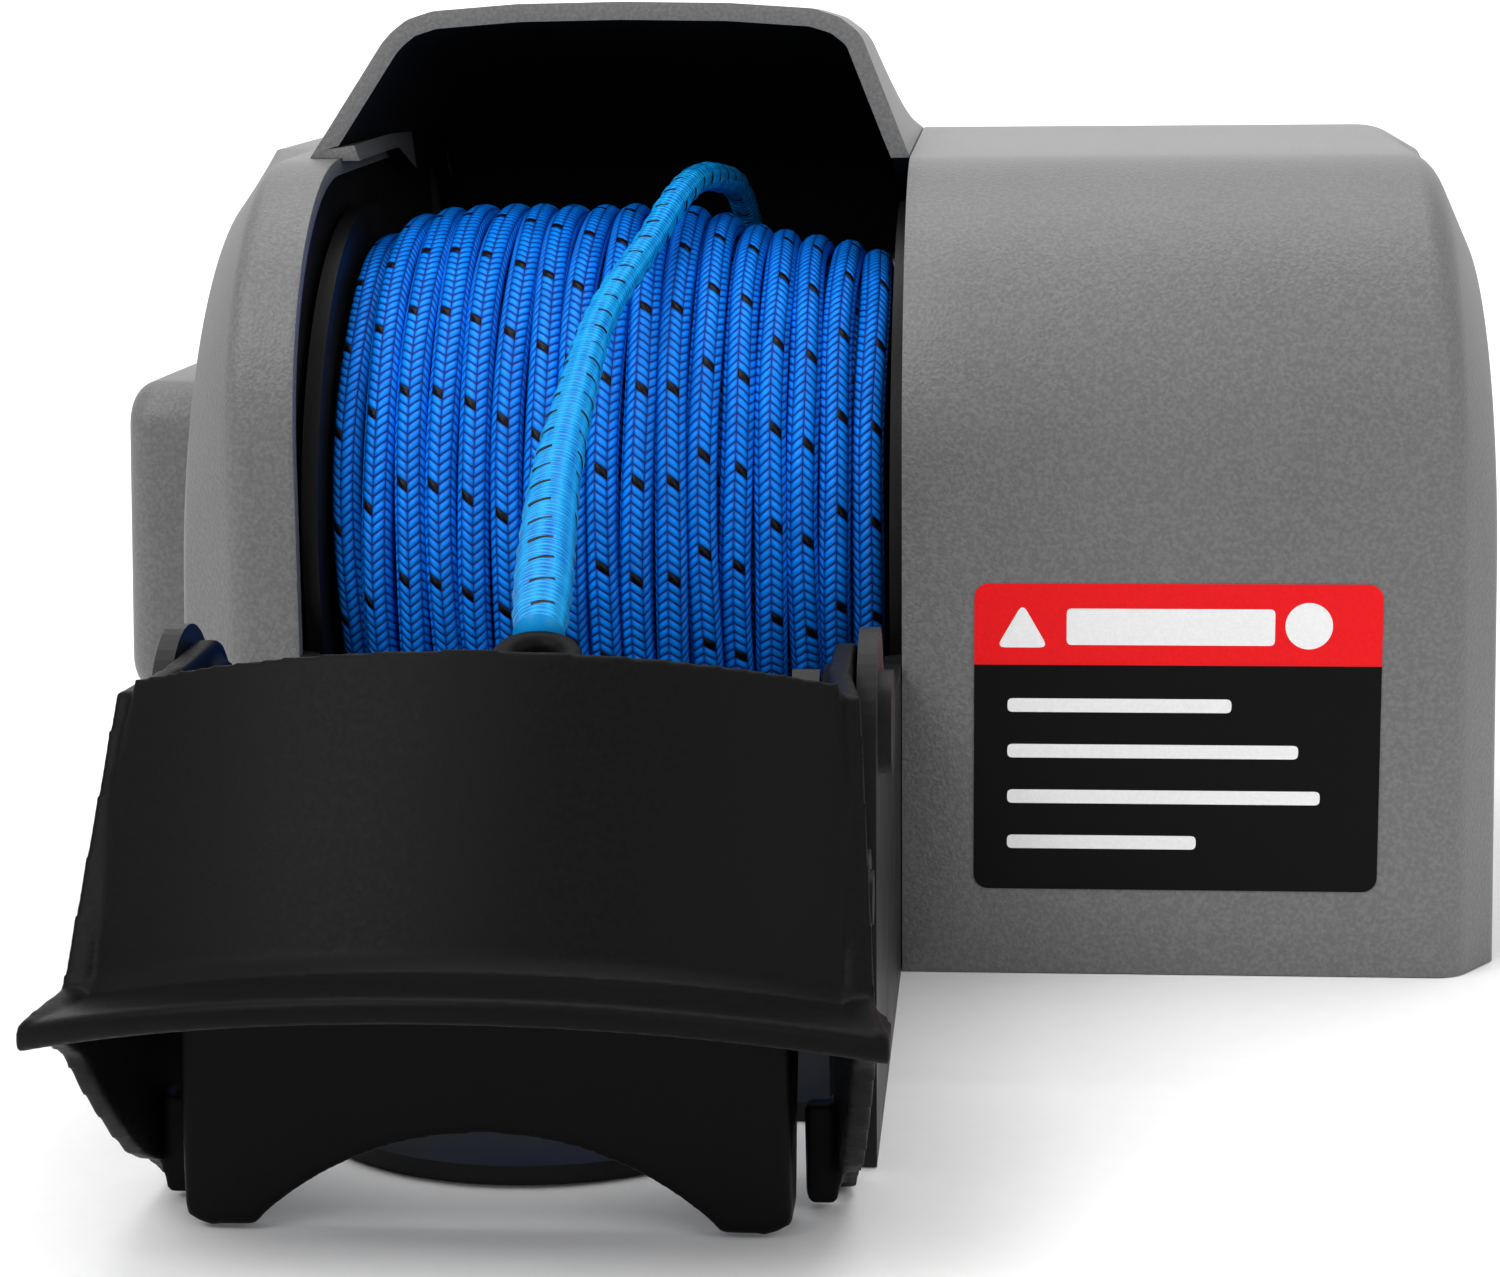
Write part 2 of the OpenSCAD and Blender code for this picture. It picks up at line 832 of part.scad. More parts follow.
module relay_terminals() {
    color(brass)
        for (z = [50, 74])
            for (y = [-58, -40]) {
                rod_x(2.5, motor_x + 34, 9, y, z);
                hex_x(8, motor_x + 34, 3.5, y, z, 0.5);
            }
}

module cable_gland() {
    color(black_shell)
        difference() {
            union() {
                rod_y(8, 76, back_y - 76 + 1, gland_x, gland_z);
                translate([gland_x, back_y + 5, gland_z])
                    rotate([90, 0, 0])
                        cylinder(r = 12, h = 5, $fn = 6);
                rod_y(9.5, back_y + 4.5, 8, gland_x, gland_z);
                translate([gland_x, back_y + 12, gland_z])
                    rotate([-90, 0, 0])
                        cylinder(r1 = 9.5, r2 = 6.5, h = 4);
            }
            rod_y(4.2, 70, 40, gland_x, gland_z);
        }
}

module cable_gland_nut() {
    color(black_shell)
        difference() {
            translate([gland_x, back_y - wall, gland_z])
                rotate([90, 0, 0])
                    cylinder(r = 12, h = 4, $fn = 6);
            rod_y(8 + fit, 70, 20, gland_x, gland_z);
        }
}

// ---------- davit ----------

// rear link of the davit wall round the pivot, drawn as (Y, Z)
module davit_link_2d() {
    polygon(concat(
        arc_pts(pivot_y, pivot_z, 12, -60, 80, 14),
        [[-190, 77.6], [wall_root_y - 0.6, 77.6], [wall_root_y - 0.6, 30], [-190, 40]]));
}

// flared front of the davit wall, drawn as (distance forward of the root, Z)
module davit_wall_2d() {
    polygon([[0.4, 0.5], [-8, 0.5], [-11, 2.4], [-15, 5.7], [-23, 9.3], [-34, 19], [-43, 30],
        [-50, 35], [-56, 37.5], [-56, 40], [-43, 40], [-18.5, 77], [0.4, 77.6]]);
}

module davit_side() {
    along_x(davit_half - davit_wall, davit_wall)
        davit_link_2d();
    translate([davit_half, wall_root_y, 0])
        rotate([0, 0, flare])
            along_x(-davit_wall, davit_wall)
                davit_wall_2d();
    rod_x(9, davit_half - 5.3, 5.3, pivot_y, pivot_z);
    translate([45, -213, 0.8])
        cube([6, 4, 16]);
}

// curved shield, drawn in its own leaning frame
module cowl_shell() {
    translate([0, cowl_y, cowl_z])
        rotate([-cowl_tilt, 0, 0])
            intersection() {
                difference() {
                    translate([0, cowl_r, 0])
                        cylinder(r = cowl_r, h = cowl_len);
                    translate([0, cowl_r, -1])
                        cylinder(r = cowl_r - cowl_t, h = cowl_len + 2);
                }
                along_y(-5, 30)
                    polygon([[-55.5, 0], [55.5, 0], [50.6, cowl_len], [-50.6, cowl_len]]);
            }
}

function lip_y(x) = 146 - sqrt(146 * 146 - x * x);

// outward lip round the mouth of the cowl
module cowl_lip() {
    depth = 18.5;
    half = 54;
    rear = 4;
    lip_top = 203;
    front = [for (x = [-half:6:half]) [x, lip_y(x) - depth]];
    back = [for (x = [half:-6:-half]) [x, lip_y(x) + rear]];
    right = [[57.4, lip_y(half) - depth + 2.2], [59.2, lip_y(half) - depth + 6],
        [58.8, lip_y(half) + rear - 6]];
    left = [[-58.8, lip_y(half) + rear - 6], [-59.2, lip_y(half) - depth + 6],
        [-57.4, lip_y(half) - depth + 2.2]];
    translate([0, -250.5, 45.6])
        rotate([-5, 0, 0])
            intersection() {
                translate([0, 0, -14])
                    linear_extrude(20)
                        polygon(concat(front, right, back, left));
                along_y(-30, 60)
                    difference() {
                        translate([0, 1.75 - lip_top])
                            circle(r = lip_top);
                        translate([0, -1.75 - lip_top])
                            circle(r = lip_top);
                    }
            }
}

module davit_cowl() {
    color(black_shell)
        difference() {
            union() {
                cowl_shell();
                cowl_lip();
                both_sides()
                    davit_side();
            }
            both_sides() {
                rod_x(axle_r + 0.08, 40, 20, pivot_y, pivot_z);
                rod_x(4 + fit, 40, 20, roller_y, roller_z);
            }
        }
}

saddle_half = 44;
saddle_y = -226;
arch_r = 48;

module davit_saddle() {
    t = 4;
    color(black_shell)
        difference() {
            union() {
                along_y(saddle_y, t)
                    difference() {
                        polygon(concat(
                            arc_pts(-saddle_half + 4, 4.5, 4, 180, 270, 5),
                            arc_pts(saddle_half - 4, 4.5, 4, 270, 360, 5),
                            [[saddle_half, 37], [saddle_half - 4, 41], [-saddle_half + 4, 41],
                            [-saddle_half, 37]]));
                        translate([0, 15 - arch_r])
                            circle(r = arch_r);
                    }
                both_sides()
                    along_x(saddle_half - t, t)
                        polygon([[saddle_y + 1, 1.5], [saddle_y + 12, 1.5], [saddle_y + 16, 16],
                            [roller_y + 9, 38], [roller_y + 9, 50], [roller_y + 5, 54],
                            [roller_y - 5, 54], [saddle_y + 1, 40]]);
            }
            both_sides()
                rod_x(4 + fit, 35, 20, roller_y, roller_z);
        }
}

module davit_axle() {
    color(steel)
        rod_x(4, -55, 110, roller_y, roller_z);
}

module davit_axle_clips() {
    color(steel)
        both_sides()
            difference() {
                rod_x(7, 53.5, 1, roller_y, roller_z);
                rod_x(4 + fit, 50, 10, roller_y, roller_z);
            }
}

module davit_roller() {
    half = 39.4;
    color(black_shell)
        turned_x(roller_y, roller_z)
            polygon([[4 + 0.08, -half], [roller_r, -half], [roller_r, -half + 5],
                [roller_r - 2.6, -20], [roller_r - 3.2, 0], [roller_r - 2.6, 20],
                [roller_r, half - 5], [roller_r, half], [4 + 0.08, half]]);
}

module davit_pivot_bolts() {
    color(steel)
        both_sides() {
            rod_x(axle_r, 41, arm_half + plate_t - 41 + 1, arm_front + ear_r, pivot_z);
            rod_x(8, arm_half + plate_t, 2, arm_front + ear_r, pivot_z);
        }
}

module davit_pivot_nuts() {
    color(steel)
        both_sides()
            hex_x(14, 41.5, 4.2, arm_front + ear_r, pivot_z, axle_r + fit);
}

base_plate();
left_side_plate();
right_side_plate();
tie_rods();
tie_rod_nuts();
left_cover();
end_cap();
motor_cover();
drum_hood();
cover_screws();
warning_label();
drum_spool();
wound_rope();
drum_shaft();
drum_gear();
drum_gear_key();
shaft_washer();
shaft_nut();
gear_retaining_ring();
left_bearing();
right_bearing();
outer_bearing();
rope_tail();
rope_thimble();
gearbox_plate();
gearbox_spacers();
gearbox_bolts();
idler_gear();
idler_axle();
idler_clip();
motor_front_plate();
motor_can();
motor_end_bell();
motor_magnets();
motor_rotor();
motor_screws();
power_relay();
relay_terminals();
cable_gland();
cable_gland_nut();
davit_cowl();
davit_saddle();
davit_axle();
davit_axle_clips();
davit_roller();
davit_pivot_bolts();
davit_pivot_nuts();
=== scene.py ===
"""Looks of the anchor windlass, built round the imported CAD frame. Lengths in the helpers are millimetres."""
import json
import math

import bmesh
import bpy
import numpy as np
from mathutils import Matrix, Vector


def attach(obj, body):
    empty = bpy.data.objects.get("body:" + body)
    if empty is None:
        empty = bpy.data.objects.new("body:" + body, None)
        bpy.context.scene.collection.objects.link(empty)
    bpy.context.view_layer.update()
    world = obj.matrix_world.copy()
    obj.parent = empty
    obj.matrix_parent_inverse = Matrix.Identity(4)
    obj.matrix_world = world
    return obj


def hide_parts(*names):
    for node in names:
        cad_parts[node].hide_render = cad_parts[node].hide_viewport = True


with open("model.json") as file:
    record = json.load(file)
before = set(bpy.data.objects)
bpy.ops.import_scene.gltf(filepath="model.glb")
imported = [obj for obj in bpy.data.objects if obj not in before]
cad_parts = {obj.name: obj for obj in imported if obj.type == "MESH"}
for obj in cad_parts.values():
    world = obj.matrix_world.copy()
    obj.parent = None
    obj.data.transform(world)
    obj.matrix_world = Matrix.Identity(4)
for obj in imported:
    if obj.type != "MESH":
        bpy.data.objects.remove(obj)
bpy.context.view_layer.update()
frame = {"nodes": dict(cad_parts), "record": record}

MM = 0.001

# ---------------------------------------------------------------- camera

YAW, DOWN, ROLL = 0.0792, 0.1793, -0.009   # radians
CAMERA_AT = (0.0752, -0.685, 0.1708)       # metres
LENS = 81.3                                # millimetres on a sensor 36 mm wide


def make_camera():
    ahead = Vector((-math.sin(YAW) * math.cos(DOWN), math.cos(YAW) * math.cos(DOWN), -math.sin(DOWN)))
    side = Vector((math.cos(YAW), math.sin(YAW), 0.0))
    above = side.cross(ahead)
    c, s = math.cos(ROLL), math.sin(ROLL)
    right, up = c * side + s * above, -s * side + c * above
    data = bpy.data.cameras.new("camera")
    data.sensor_fit, data.sensor_width, data.lens = "HORIZONTAL", 36.0, LENS
    data.clip_start, data.clip_end = 0.05, 50
    cam = bpy.data.objects.new("camera", data)
    axes = Matrix((right, up, -ahead)).transposed().to_4x4()
    cam.matrix_world = Matrix.Translation(CAMERA_AT) @ axes
    bpy.context.scene.collection.objects.link(cam)
    bpy.context.scene.camera = cam


make_camera()

# ---------------------------------------------------------------- shapes


def arc(cx, cy, r, a0, a1, n):
    """n + 1 points of an arc, angles in degrees."""
    return [(cx + r * math.cos(math.radians(a0 + (a1 - a0) * i / n)),
             cy + r * math.sin(math.radians(a0 + (a1 - a0) * i / n))) for i in range(n + 1)]


def line(p, q, n):
    """n points from p up to but not including q."""
    return [tuple(a + (b - a) * i / n for a, b in zip(p, q)) for i in range(n)]


def rounded(points, radii, n=6, closed=False):
    """The polyline with each inner corner turned into an arc of its radius."""
    out, count = [], len(points)
    for i, p in enumerate(points):
        r = radii[i]
        if r <= 0 or (not closed and i in (0, count - 1)):
            out.append(tuple(p))
            continue
        p = np.array(p, float)
        a = np.array(points[i - 1], float) - p
        b = np.array(points[(i + 1) % count], float) - p
        la, lb = np.linalg.norm(a), np.linalg.norm(b)
        a, b = a / la, b / lb
        half = math.acos(max(-1, min(1, float(a @ b)))) / 2
        d = min(r / math.tan(half), 0.49 * la, 0.49 * lb)
        start, end = p + a * d, p + b * d
        for k in range(n + 1):
            t = k / n
            out.append(tuple((1 - t) ** 2 * start + 2 * t * (1 - t) * p + t ** 2 * end))
    return out


def new_object(name, verts, faces, body, smooth=True):
    """A mesh from millimetres, riding a CAD body."""
    mesh = bpy.data.meshes.new(name)
    mesh.from_pydata([tuple(c * MM for c in v) for v in verts], [], faces)
    mesh.validate()
    mesh.update()
    mesh.polygons.foreach_set("use_smooth", [smooth] * len(mesh.polygons))
    obj = bpy.data.objects.new(name, mesh)
    bpy.context.scene.collection.objects.link(obj)
    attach(obj, body)
    return obj


def grid(rows, wrap=False):
    """Verts and faces of a net of points: rows of equal length, each joined to the next."""
    n = len(rows[0])
    verts = [p for row in rows for p in row]
    faces = []
    for j in range(len(rows) - 1):
        for i in range(n if wrap else n - 1):
            k = (i + 1) % n
            faces.append((j * n + i, j * n + k, (j + 1) * n + k, (j + 1) * n + i))
    return verts, faces


def prism(front, back):
    """Verts and faces of a solid between two outlines with the same number of points."""
    n = len(front)
    faces = [list(range(n)), list(range(2 * n - 1, n - 1, -1))]
    faces += [(i, i + n, (i + 1) % n + n, (i + 1) % n) for i in range(n)]
    return list(front) + list(back), faces


def outward(obj):
    """Merges doubled points and turns every face outwards."""
    bm = bmesh.new()
    bm.from_mesh(obj.data)
    bmesh.ops.remove_doubles(bm, verts=bm.verts, dist=2e-6)
    bmesh.ops.recalc_face_normals(bm, faces=bm.faces)
    bm.to_mesh(obj.data)
    bm.free()


def apply_all(obj):
    """Bakes the modifiers into the mesh."""
    graph = bpy.context.evaluated_depsgraph_get()
    mesh = bpy.data.meshes.new_from_object(obj.evaluated_get(graph))
    obj.modifiers.clear()
    obj.data = mesh


def bevel(obj, width, segments, angle):
    m = obj.modifiers.new("bevel", "BEVEL")
    m.width, m.segments, m.limit_method = width * MM, segments, "ANGLE"
    m.angle_limit = math.radians(angle)
    m.harden_normals = False


def thicken(obj, t, even=True):
    """Gives a sheet its wall, on the inner side."""
    m = obj.modifiers.new("thick", "SOLIDIFY")
    m.thickness, m.offset, m.use_even_offset, m.use_rim = t * MM, -1.0, even, True


def circle(y, z, r, steps):
    """Points (y, z) round a circle."""
    turn = [2 * math.pi * k / steps for k in range(steps)]
    return [(y + r * math.cos(a), z + r * math.sin(a)) for a in turn]


def all_smooth(mesh):
    mesh.polygons.foreach_set("use_smooth", [True] * len(mesh.polygons))


def fuse(parts, voxel, rounds):
    """Joins the parts into the first, remeshes them as one body and softens it."""
    bm = bmesh.new()
    for part in parts:
        outward(part)
        bm.from_mesh(part.data)
    whole = parts[0]
    bm.to_mesh(whole.data)
    bm.free()
    for part in parts[1:]:
        bpy.data.objects.remove(part)
    m = whole.modifiers.new("fuse", "REMESH")
    m.mode, m.voxel_size, m.adaptivity = "VOXEL", voxel * MM, 0.0
    m.use_smooth_shade = True
    soft = whole.modifiers.new("soft", "SMOOTH")
    soft.factor, soft.iterations = 0.5, rounds
    apply_all(whole)
    all_smooth(whole.data)
    return whole


# ---------------------------------------------------------------- materials

def linear(*rgb):
    """Display colour, 0 to 255, as scene colour."""
    share = [c / 255 for c in rgb]
    return tuple(c / 12.92 if c <= 0.04045 else ((c + 0.055) / 1.055) ** 2.4 for c in share)


class Nodes:
    """Short names for building a material."""

    def __init__(self, name, rough, metallic=0.0, specular=0.5):
        self.mat = bpy.data.materials.new(name)
        self.mat.use_nodes = True
        self.tree = self.mat.node_tree
        self.shader = self.tree.nodes["Principled BSDF"]
        self.set("Roughness", rough)
        self.set("Metallic", metallic)
        self.set("Specular IOR Level", specular)

    def set(self, socket, value):
        self.shader.inputs[socket].default_value = value

    def add(self, kind, **settings):
        node = self.tree.nodes.new(kind)
        for key, value in settings.items():
            setattr(node, key, value)
        return node

    def link(self, a, b):
        self.tree.links.new(a, b)

    def place(self):
        return self.add("ShaderNodeTexCoord").outputs["Object"]

    def noise(self, scale, detail=3.0, roughness=0.55, stretch=None):
        n = self.add("ShaderNodeTexNoise")
        n.inputs["Scale"].default_value = scale
        n.inputs["Detail"].default_value = detail
        n.inputs["Roughness"].default_value = roughness
        where = self.place()
        if stretch:
            m = self.add("ShaderNodeMapping")
            m.inputs["Scale"].default_value = stretch
            self.link(where, m.inputs["Vector"])
            where = m.outputs["Vector"]
        self.link(where, n.inputs["Vector"])
        return n.outputs["Fac"]

    def voronoi(self, scale):
        n = self.add("ShaderNodeTexVoronoi", feature="F1")
        n.inputs["Scale"].default_value = scale
        self.link(self.place(), n.inputs["Vector"])
        return n.outputs["Distance"]

    def math(self, op, a, b=None, c=None):
        n = self.add("ShaderNodeMath", operation=op)
        for i, v in enumerate((a, b, c)):
            if v is None:
                continue
            if isinstance(v, (int, float)):
                n.inputs[i].default_value = v
            else:
                self.link(v, n.inputs[i])
        return n.outputs[0]

    def span(self, value, lo, hi, to_lo, to_hi):
        n = self.add("ShaderNodeMapRange")
        for key, v in (("From Min", lo), ("From Max", hi), ("To Min", to_lo), ("To Max", to_hi)):
            n.inputs[key].default_value = v
        self.link(value, n.inputs["Value"])
        return n.outputs["Result"]

    def mix(self, factor, a, b):
        n = self.add("ShaderNodeMix", data_type="RGBA")
        if isinstance(factor, (int, float)):
            n.inputs["Factor"].default_value = factor
        else:
            self.link(factor, n.inputs["Factor"])
        for key, v in (("A", a), ("B", b)):
            socket = [s for s in n.inputs if s.name == key and s.type == "RGBA"][0]
            if isinstance(v, tuple):
                socket.default_value = (*v, 1.0)
            else:
                self.link(v, socket)
        return [s for s in n.outputs if s.type == "RGBA"][0]

    def colour(self, value):
        self.link(value, self.shader.inputs["Base Color"])

    def roughness(self, value):
        self.link(value, self.shader.inputs["Roughness"])

    def braid_map(self):
        """The 'braid' UV map: millimetres along the rope, and turns round it."""
        uv = self.add("ShaderNodeUVMap", uv_map="braid")
        split = self.add("ShaderNodeSeparateXYZ")
        self.link(uv.outputs["UV"], split.inputs[0])
        return split.outputs["X"], split.outputs["Y"]

    def bump(self, height, depth_mm):
        """Adds relief over any relief already there."""
        n = self.add("ShaderNodeBump")
        n.inputs["Strength"].default_value = 1.0
        n.inputs["Distance"].default_value = depth_mm * MM
        self.link(height, n.inputs["Height"])
        previous = self.shader.inputs["Normal"].links
        if previous:
            self.link(previous[0].from_socket, n.inputs["Normal"])
        self.link(n.outputs["Normal"], self.shader.inputs["Normal"])


def tint(rgb, k):
    return tuple(c * k for c in rgb)


def moulded(name, rgb, rough, grain, depth, specular, speckle):
    """Moulded plastic with a fine grain of the given size in millimetres."""
    m = Nodes(name, rough, specular=specular)
    cells = m.voronoi(1.0 / (grain * MM))
    fine = m.noise(0.8 / (grain * MM), 4, 0.6)
    cloud = m.noise(18, 3)
    low, high = tint(rgb, 1 - speckle), tint(rgb, 1 + speckle)
    soft_low, soft_high = tint(rgb, 1 - speckle * 0.5), tint(rgb, 1 + speckle * 0.5)
    body = m.mix(m.span(cloud, 0.3, 0.7, 0, 1), soft_low, soft_high)
    dots = m.mix(m.span(fine, 0.42, 0.62, 0, 1), low, high)
    m.colour(m.mix(0.55, body, dots))
    m.roughness(m.span(fine, 0.3, 0.7, rough - 0.05, rough + 0.07))
    m.bump(cells, depth)
    m.bump(fine, depth * 0.6)
    return m.mat


def powder(name, rgb, rough):
    """Powder coat over steel: orange peel, and lighter and darker in soft clouds."""
    m = Nodes(name, rough, specular=0.2)
    peel = m.noise(900, 2, 0.5)
    cloud = m.noise(35, 4)
    m.colour(m.mix(m.span(cloud, 0.35, 0.7, 0, 1), tint(rgb, 0.8), tint(rgb, 1.35)))
    m.roughness(m.span(cloud, 0.3, 0.7, rough - 0.06, rough + 0.08))
    m.bump(peel, 0.05)
    return m.mat


def metal(name, rgb, rough, lay=(1, 60, 60), depth=0.01):
    """Turned or drawn metal with fine lines and a little staining."""
    m = Nodes(name, rough, metallic=1.0)
    lines = m.noise(40, 4, 0.6, stretch=lay)
    stain = m.noise(60, 4)
    m.colour(m.mix(m.span(stain, 0.35, 0.75, 0, 1), rgb, tint(rgb, 0.72)))
    m.roughness(m.span(lines, 0.3, 0.7, rough - 0.08, rough + 0.12))
    m.bump(lines, depth)
    return m.mat


def braid(name, light, dark, columns=8, stitch=1.7):
    """Braided line, yarns slanting left and right in turn, with three dark tracer yarns and painted shade in
    the gaps between yarns.
    """
    m = Nodes(name, 0.42, specular=0.16)
    along, turns_round = m.braid_map()
    v = m.math("MULTIPLY", turns_round, float(columns))
    column, across = m.math("FLOOR", v), m.math("FRACT", v)
    side = m.math("MULTIPLY_ADD", m.math("FLOORED_MODULO", column, 2.0), 2.0, -1.0)
    centred = m.math("MULTIPLY", m.math("SUBTRACT", across, 0.5), 0.95)
    w = m.math("MULTIPLY_ADD", along, 1.0 / stitch, m.math("MULTIPLY", centred, side))
    yarn = m.math("POWER", m.math("SINE", m.math("MULTIPLY", m.math("FRACT", w), math.pi)), 0.6)
    ridge = m.math("POWER", m.math("SINE", m.math("MULTIPLY", across, math.pi)), 0.4)
    dome = m.math("MULTIPLY", yarn, ridge)
    wear = m.noise(150, 3)
    top = m.mix(m.span(wear, 0.3, 0.7, 0, 1), tint(light, 0.8), tint(light, 1.15))
    # painted shade: the colour falls to the dark shade colour where the yarns dip into their gaps
    body = m.mix(m.span(dome, 0.2, 0.85, 0, 1), dark, top)
    stitch_of_ten = m.math("FLOORED_MODULO", m.math("FLOOR", w), 10.0)
    flecks = [m.math("MULTIPLY", m.math("COMPARE", column, at_column, 0.1),
                     m.math("COMPARE", stitch_of_ten, at_stitch, 0.1))
              for at_column, at_stitch in ((1.0, 0.0), (4.0, 4.0), (6.0, 7.0))]
    spot = m.math("MAXIMUM", m.math("MAXIMUM", flecks[0], flecks[1]), flecks[2])
    m.colour(m.mix(spot, body, (0.003, 0.003, 0.005)))
    m.roughness(m.span(dome, 0.2, 1, 0.5, 0.36))
    m.bump(dome, 0.4)
    return m.mat


def spliced(name, light, dark):
    """The bury splice: the cover is stretched smooth, with short dark dashes across and painted shade in the
    troughs between its ribs.
    """
    m = Nodes(name, 0.3, specular=0.2)
    u, v = m.braid_map()
    ribs = m.math("SINE", m.math("MULTIPLY", u, 2 * math.pi / 0.95))
    plait = m.math("SINE", m.math("MULTIPLY_ADD", v, 2 * math.pi * 10, m.math("MULTIPLY", ribs, 0.5)))
    weave = m.math("MULTIPLY_ADD", plait, 0.35, m.math("MULTIPLY", ribs, 0.65))
    soft = m.noise(160, 3)
    # painted shade: where the weave dips, the colour falls to a darker blue, itself varied at random
    low = m.mix(m.span(soft, 0.3, 0.7, 0, 1), dark, tint(light, 0.62))
    body = m.mix(m.span(weave, -1, 0.6, 0, 1), low, light)
    bow = m.math("MULTIPLY", m.math("SINE", m.math("MULTIPLY_ADD", v, 6 * math.pi, 1.0)), 0.5)
    step = m.math("FRACT", m.math("MULTIPLY", m.math("ADD", u, bow), 1 / 6.4))
    thin = m.math("LESS_THAN", m.math("ABSOLUTE", m.math("SUBTRACT", step, 0.5)), 0.07)
    drift = m.math("MULTIPLY_ADD", v, 6 * math.pi, m.math("MULTIPLY", u, 0.05))
    broken = m.math("GREATER_THAN", m.math("SINE", drift), 0.15)
    m.colour(m.mix(m.math("MULTIPLY", thin, broken), body, (0.004, 0.005, 0.008)))
    m.roughness(m.span(soft, 0.3, 0.7, 0.26, 0.38))
    m.bump(weave, 0.16)
    return m.mat


GREY = linear(100, 100, 100)
# the rope's own blue, and a painted shade colour for the gaps between yarns and for the deeper layers
ROPE_LIGHT = linear(0, 134, 252)
ROPE_SHADE = linear(0, 48, 140)

# name: colour, roughness, grain in mm, relief in mm, specular, speckle
M = {
    "grey_shell": moulded("grey_shell_m", GREY, 0.45, 0.6, 0.075, 0.45, 0.26),
    "black_plastic": moulded("black_plastic_m", (0.0030, 0.0030, 0.0031), 0.46, 0.7, 0.012, 0.07, 0.25),
    "hood_inside": moulded("hood_inside_m", (0.0035, 0.0035, 0.004), 0.62, 0.7, 0.02, 0.2, 0.2),
    "black_steel": powder("black_steel_m", (0.0075, 0.0075, 0.008), 0.45),
    "zinc_steel": metal("zinc_steel_m", (0.62, 0.63, 0.66), 0.30),
    "gear_steel": metal("gear_steel_m", (0.30, 0.30, 0.32), 0.36, (1, 30, 30)),
    "motor_alloy": metal("motor_alloy_m", (0.52, 0.53, 0.55), 0.45, (8, 8, 8), 0.02),
    "magnet": powder("magnet_m", (0.04, 0.04, 0.043), 0.6),
    "bearing_bronze": metal("bearing_bronze_m", (0.60, 0.36, 0.13), 0.38, (30, 8, 8)),
    "terminal_brass": metal("terminal_brass_m", (0.72, 0.50, 0.18), 0.25, (40, 8, 8)),
    "roller_plastic": moulded("roller_plastic_m", (0.02, 0.02, 0.022), 0.35, 0.6, 0.01, 0.45, 0.2),
    "blue_rope": braid("blue_rope_m", ROPE_LIGHT, ROPE_SHADE),
    # the layer beneath the turns: the rope's colours at half brightness, painted shade from the turns lying
    # over it
    "under_rope": braid("under_rope_shaded_m", tint(ROPE_LIGHT, 0.5), tint(ROPE_SHADE, 0.5)),
    "splice": spliced("splice_m", linear(10, 166, 240), linear(0, 62, 176)),
    "label_film": moulded("label_film_m", (0.02, 0.02, 0.02), 0.3, 0.4, 0.006, 0.4, 0.15),
    "label_black": moulded("label_black_m", (0.0025, 0.0025, 0.0026), 0.35, 0.4, 0.006, 0.08, 0.15),
    "label_red": moulded("label_red_m", linear(224, 12, 20), 0.33, 0.4, 0.006, 0.15, 0.08),
    "label_white": moulded("label_white_m", (0.78, 0.78, 0.78), 0.35, 0.4, 0.006, 0.4, 0.05),
    "floor": moulded("floor_m", (0.86, 0.86, 0.86), 0.8, 4.0, 0.01, 0.1, 0.01),
}

SLOT = {s["node"]: s["material_slot"] for s in frame["record"]["subparts"]}
for name, obj in frame["nodes"].items():
    obj.data.materials.clear()
    obj.data.materials.append(M[SLOT[name]])


def dress(obj, material):
    """Gives a piece its material."""
    obj.data.materials.clear()
    obj.data.materials.append(M[material])


# ---------------------------------------------------------------- rope

# the free rope's centre line and radius, from the pack to the eye
TAIL = [(21.5, 29, 111, 2.7), (20.6, 22, 125, 2.7), (19.4, 14, 134, 2.7), (18, 6, 138.9, 2.7),
        (16.4, -6, 140.6, 2.7), (14.6, -18, 141.6, 2.7), (12.6, -30, 140.9, 2.7),
        (10.2, -43, 137.4, 2.7), (7.6, -55, 131.9, 2.7), (4.9, -67, 126.9, 2.75),
        (2.5, -79, 122.4, 2.85), (1.1, -91, 117.8, 3.0), (0.7, -103, 113.2, 3.2),
        (0.5, -115, 108.6, 3.5), (0.3, -127, 103.6, 3.8), (0.4, -140, 98.2, 4.1),
        (1.0, -152, 93.7, 4.35), (1.9, -164, 89.2, 4.5), (2.9, -176, 84.7, 4.5), (3.8, -187, 80.4, 3.9)]


def smooth_route(points, step):
    """Catmull-Rom through the points, sampled about every step millimetres."""
    p = np.array(points, float)
    p = np.vstack([2 * p[0] - p[1], p, 2 * p[-1] - p[-2]])
    out = []
    for i in range(1, len(p) - 2):
        a, b, c, d = p[i - 1:i + 3]
        n = max(2, int(round(np.linalg.norm((c - b)[:3]) / step)))
        for k in range(n):
            t = k / n
            out.append(0.5 * (2 * b + (c - a) * t + (2 * a - 5 * b + 4 * c - d) * t * t
                              + (3 * b - 3 * c + d - a) * t ** 3))
    out.append(p[-2])
    return np.array(out)


